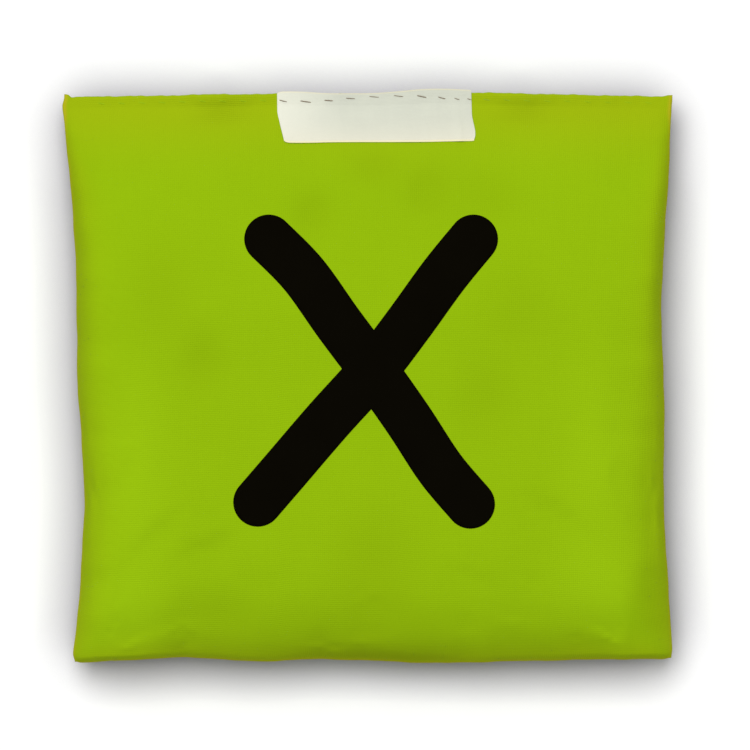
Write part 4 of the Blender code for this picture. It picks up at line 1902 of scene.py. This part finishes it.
@dataclass
class HemStitches:
    """The closing lockstitch as it shows on one face of the hem."""

    surface: CoverSurface
    label: TapeLabel
    radius: float = 0.00010
    thick_shares: Shares = (1.0, 1.3, 1.15, 0.85, 0.75, 0.8, 1.2, 1.05, 0.8, 0.8)
    twist: float = 0.0005
    shown_share: float = 0.52
    slant: float = 0.00036
    arch: float = 0.00002
    arch_power: float = 0.5
    dive_power: float = 1.5
    sunk_in_cloth: float = 0.00007
    ply_height_share: float = 0.75
    back_shown_share: float = 0.8
    edge_reach: float = 0.0004
    red_share: float = 0.3
    red_reach: float = 0.006
    depth: float = 0.00045
    steps: int = 26

    def build(self, side: Side, name: str, finish: bpy.types.Material, node: str) -> bpy.types.Object:
        """Makes the stitches of one face.

        Args:
            side: The front, where they cross the label, or the back.
            name: The piece's name.
            finish: The thread.
            node: The node it stands for.

        Returns:
            The piece.
        """
        holes = self.surface.stitches.holes(self.surface.form)
        points, faces, first = [], [], 0
        for here, there in zip(holes, holes[1:]):
            share = (here[0] - self.label.corner[0]) / self.label.width
            radius = self.radius * along(self.thick_shares, share)
            body, sides = twisted_thread(self._stitch(side, here, there), radius, self.twist)
            points.append(body)
            faces += [[first + k for k in face] for face in sides]
            first += len(body)
        points = np.vstack(points)
        made = mesh_object(name, points, faces, finish)
        set_attribute(made, CUT_PLACE, points)
        near = np.maximum(self._over_label(points[:, 0]), self._beside_label(points[:, 0]))
        set_attribute(made, OVER_LABEL, near if side is Side.FRONT else np.zeros(len(points)))
        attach(made, COVER_BODY)
        return dress(made, (node,))

    def _stitch(self, side: Side, here: Array, there: Array) -> Array:
        """Draws one stitch, up out of one hole, along the cloth and down into the next.

        Args:
            side: The front or the back.
            here: X and y of the hole that it comes from.
            there: X and y of the hole that it goes to.

        Returns:
            Points along its middle.
        """
        share = self.shown_share if side is Side.FRONT else self.back_shown_share
        t = np.linspace(0, 1, self.steps + 1)
        lead = (1 - share) / 2
        run = lead + share * t
        x = mix(here[0], there[0], run)
        y = mix(here[1], there[1], run) + side.value * self.slant * (0.5 - t)
        shape = np.sin(math.pi * t) ** self.arch_power
        over = self._over_label(x) if side is Side.FRONT else 0
        on_label = over * (self.label.thickness + self.label.gap)
        in_cloth = side.value * (1 - over) * self.sunk_in_cloth
        level = self.surface.level(side, x, y) + on_label - in_cloth
        dive = self.depth * (1 - shape) ** self.dive_power
        lift = (self.radius * self.ply_height_share + self.arch) * shape - dive
        return np.stack([x, y, level + side.value * lift], -1)

    def _over_label(self, x: Array) -> Array:
        """1 over the label and 0 beside it."""
        from_left = x - self.label.corner[0]
        from_right = self.label.corner[0] + self.label.width - x
        start = smooth_step(from_left / self.edge_reach + 0.5)
        return start * smooth_step(from_right / self.edge_reach + 0.5)

    def _beside_label(self, x: Array) -> Array:
        """How red the thread still shows right of the label, before it takes the cloth's colour."""
        past = x - (self.label.corner[0] + self.label.width)
        return np.where(past > 0, self.red_share * np.exp(-past / self.red_reach), 0)


@dataclass
class SeamStitches:
    """The lockstitch deep in the crease of the left, bottom and right seams."""

    surface: CoverSurface
    radius: float = 0.00009
    twist: float = 0.0006
    pitch: float = 0.0027
    inset: float = 0.00062
    steps: int = 10
    run_shares: tuple = (((0, 0.03), (0, 0.99)), ((0.01, 1), (0.99, 1)), ((1, 0.99), (1, 0.03)))

    def build(self, finish: bpy.types.Material) -> bpy.types.Object:
        """Makes the stitches, which cross from one cover's crease to the other's.

        Args:
            finish: The thread.

        Returns:
            The piece.
        """
        form = self.surface.form
        line = []
        for (u0, v0), (u1, v1) in self.run_shares:
            length = abs(u1 - u0) * form.top_width + abs(v1 - v0) * form.cover_height
            t = np.linspace(0, 1, int(length / self.pitch * self.steps))
            line.append(np.stack([mix(u0, u1, t), mix(v0, v1, t)], -1))
        shares = np.vstack(line)
        u, v = shares[:, 0], shares[:, 1]
        wave = np.sin(math.pi * np.arange(len(u)) / self.steps)
        z = form.seam(u, v) + wave * (form.seam_gap / 2 + self.radius)
        x = mix(form.left(v) + self.inset, form.right(v) - self.inset, u)
        middle = np.stack([x, mix(form.top(u) - self.inset, form.bottom(u) + self.inset, v), z], -1)
        points, faces = twisted_thread(middle, self.radius, self.twist)
        made = mesh_object("seam_lockstitch", points, faces, finish)
        set_attribute(made, CUT_PLACE, points)
        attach(made, COVER_BODY)
        return dress(made, ("seam_needle_thread", "seam_bobbin_thread"))


# The studio


@dataclass(frozen=True)
class Studio:
    """A white floor, a soft lamp beyond the hem, an even dome and the camera straight above."""

    dome: float = 0.495
    key: float = 0.56
    key_elevation: float = math.radians(64)
    key_turn: float = math.radians(22)
    key_distance: float = 8.0
    key_size: float = 7.2
    floor_bounce: float = 0.60
    floor_seen: float = 1.03
    # The floor's painted contact shadow: how far its occlusion reaches, how deeply it darkens red, green and
    # blue (green most, against the cloth's green bounce), and its samples.
    painted_shadow_reach: float = 0.011
    painted_shadow_depths: Colour = (0.94, 1.00, 0.82)
    painted_shadow_samples: int = 16
    floor_size: float = 6.0
    floor_level: float = -0.00008
    lens: float = 350
    sensor: float = 36
    view_width: float = 0.1480
    view_level: float = 0.009
    view_x: float = 0.00152
    view_y: float = 0.0001

    def build(self) -> None:
        """Makes the floor, the world, the lamp and the camera."""
        bpy.context.scene.view_settings.view_transform = "Standard"
        self._floor()
        self._world()
        self._lamp()
        self._camera()

    @staticmethod
    def _seen(tree: bpy.types.NodeTree) -> bpy.types.NodeSocket:
        """Tells the rays that show the background from those that light the bag.

        Args:
            tree: The floor's or the world's tree.

        Returns:
            1 for a ray that is straight, mirrored or through glass, and 0 for any other.
        """
        rays = add_node(tree, "ShaderNodeLightPath").outputs
        some = maths(tree, "MAXIMUM", rays["Is Camera Ray"], rays["Is Glossy Ray"])
        return maths(tree, "MAXIMUM", some, rays["Is Transmission Ray"])

    def _floor(self) -> None:
        """The floor keeps the bag's shadow and adds a painted contact shadow, an occlusion darkening near the
        bag tinted to stay a neutral grey, and is white where it is open.
        """
        made = bpy.data.materials.new("studio_floor")
        made.use_nodes = True
        tree = made.node_tree
        tree.nodes.clear()
        tone = add_up(tree, self.floor_bounce, (self._seen(tree), self.floor_seen - self.floor_bounce))
        # Painted contact shadow: the floor darkens by its occlusion near the bag, a little more in green.
        reach = {"Distance": self.painted_shadow_reach}
        near = add_node(tree, "ShaderNodeAmbientOcclusion", reach, samples=self.painted_shadow_samples)
        painted_shadows = [maths(tree, "POWER", near.outputs["AO"], depth) for depth in self.painted_shadow_depths]
        red, green, blue = (maths(tree, "MULTIPLY", tone, shade) for shade in painted_shadows)
        white = add_node(tree, "ShaderNodeCombineColor", {"Red": red, "Green": green, "Blue": blue})
        matte = add_node(tree, "ShaderNodeBsdfDiffuse", {"Color": white.outputs[0]})
        add_node(tree, "ShaderNodeOutputMaterial", {"Surface": matte.outputs[0]})
        half = self.floor_size / 2
        corners = [(-half, -half), (half, -half), (half, half), (-half, half)]
        mesh_object("floor", [(x, y, self.floor_level) for x, y in corners], [[0, 1, 2, 3]], made)

    def _world(self) -> None:
        """An even dome, white where it is seen."""
        world = bpy.data.worlds.new("studio")
        bpy.context.scene.world = world
        world.use_nodes = True
        tree = world.node_tree
        strength = add_up(tree, self.dome, (self._seen(tree), 1 - self.dome))
        background = tree.nodes["Background"]
        background.inputs["Color"].default_value = (1, 1, 1, 1)
        tree.links.new(strength, background.inputs["Strength"])

    def _lamp(self) -> None:
        """The soft lamp, at a power that adds its share of plain light to what faces up."""
        lamp = bpy.data.lights.new("key_lamp", "AREA")
        lamp.shape = "DISK"
        lamp.size = self.key_size
        spread = self.key_distance**2 + (self.key_size / 2) ** 2
        lamp.energy = self.key * math.pi**2 * spread / math.sin(self.key_elevation)
        made = bpy.data.objects.new("key_lamp", lamp)
        flat, rise = math.cos(self.key_elevation), math.sin(self.key_elevation)
        way = Vector((-flat * math.sin(self.key_turn), flat * math.cos(self.key_turn), rise))
        made.location = way * self.key_distance
        made.rotation_euler = way.to_track_quat("Z", "Y").to_euler()
        bpy.context.scene.collection.objects.link(made)

    def _camera(self) -> None:
        """The camera looks straight down at the middle of the picture."""
        camera = bpy.data.cameras.new("camera")
        camera.lens = self.lens
        camera.sensor_width = self.sensor
        made = bpy.data.objects.new("camera", camera)
        distance = self.view_width * self.lens / self.sensor
        made.location = (self.view_x, self.view_y, self.view_level + distance)
        bpy.context.scene.collection.objects.link(made)
        bpy.context.scene.camera = made


def main() -> None:
    """Dresses the bag and builds its studio."""
    logging.basicConfig(level=logging.INFO, format="%(name)s: %(message)s")
    Studio().build()
    form = BagForm()
    surface = CoverSurface(form, StitchLine(), ClothSettling().settle(form))
    covers = ClothCovers(surface)
    covers.build(Side.FRONT, "front_cover", ClothFinish("lime_cotton").build(), "front_panel")
    back_cloth = ClothFinish("lime_cotton_back", colour=(0.290, 0.488, 0.0040), shade=(0.256, 0.440, 0.0030))
    covers.build(Side.BACK, "back_cover", back_cloth.build(), "back_panel")
    PelletCharge(surface).build(PelletFinish().build())
    PrintedCross(surface).build(InkFinish().build())
    label = TapeLabel(surface)
    label.build(TapeFinish().build(label.length))
    # On the cloth the closing thread is paler than the cloth, painted light that offsets the shade of its
    # stitch dimples; over the label it is dark red-brown.
    closing = ThreadFinish(
        "closing_thread", (0.37, 0.56, 0.008), (0.34, 0.52, 0.008), on_label=(0.27, 0.215, 0.160),
    ).build()
    stitches = HemStitches(surface, label)
    stitches.build(Side.FRONT, "closing_topstitch", closing, "closing_needle_thread")
    stitches.build(Side.BACK, "closing_understitch", closing, "closing_bobbin_thread")
    SeamStitches(surface).build(ThreadFinish("seam_thread", (0.25, 0.42, 0.01), (0.19, 0.32, 0.01)).build())


if __name__ == "__main__":
    main()
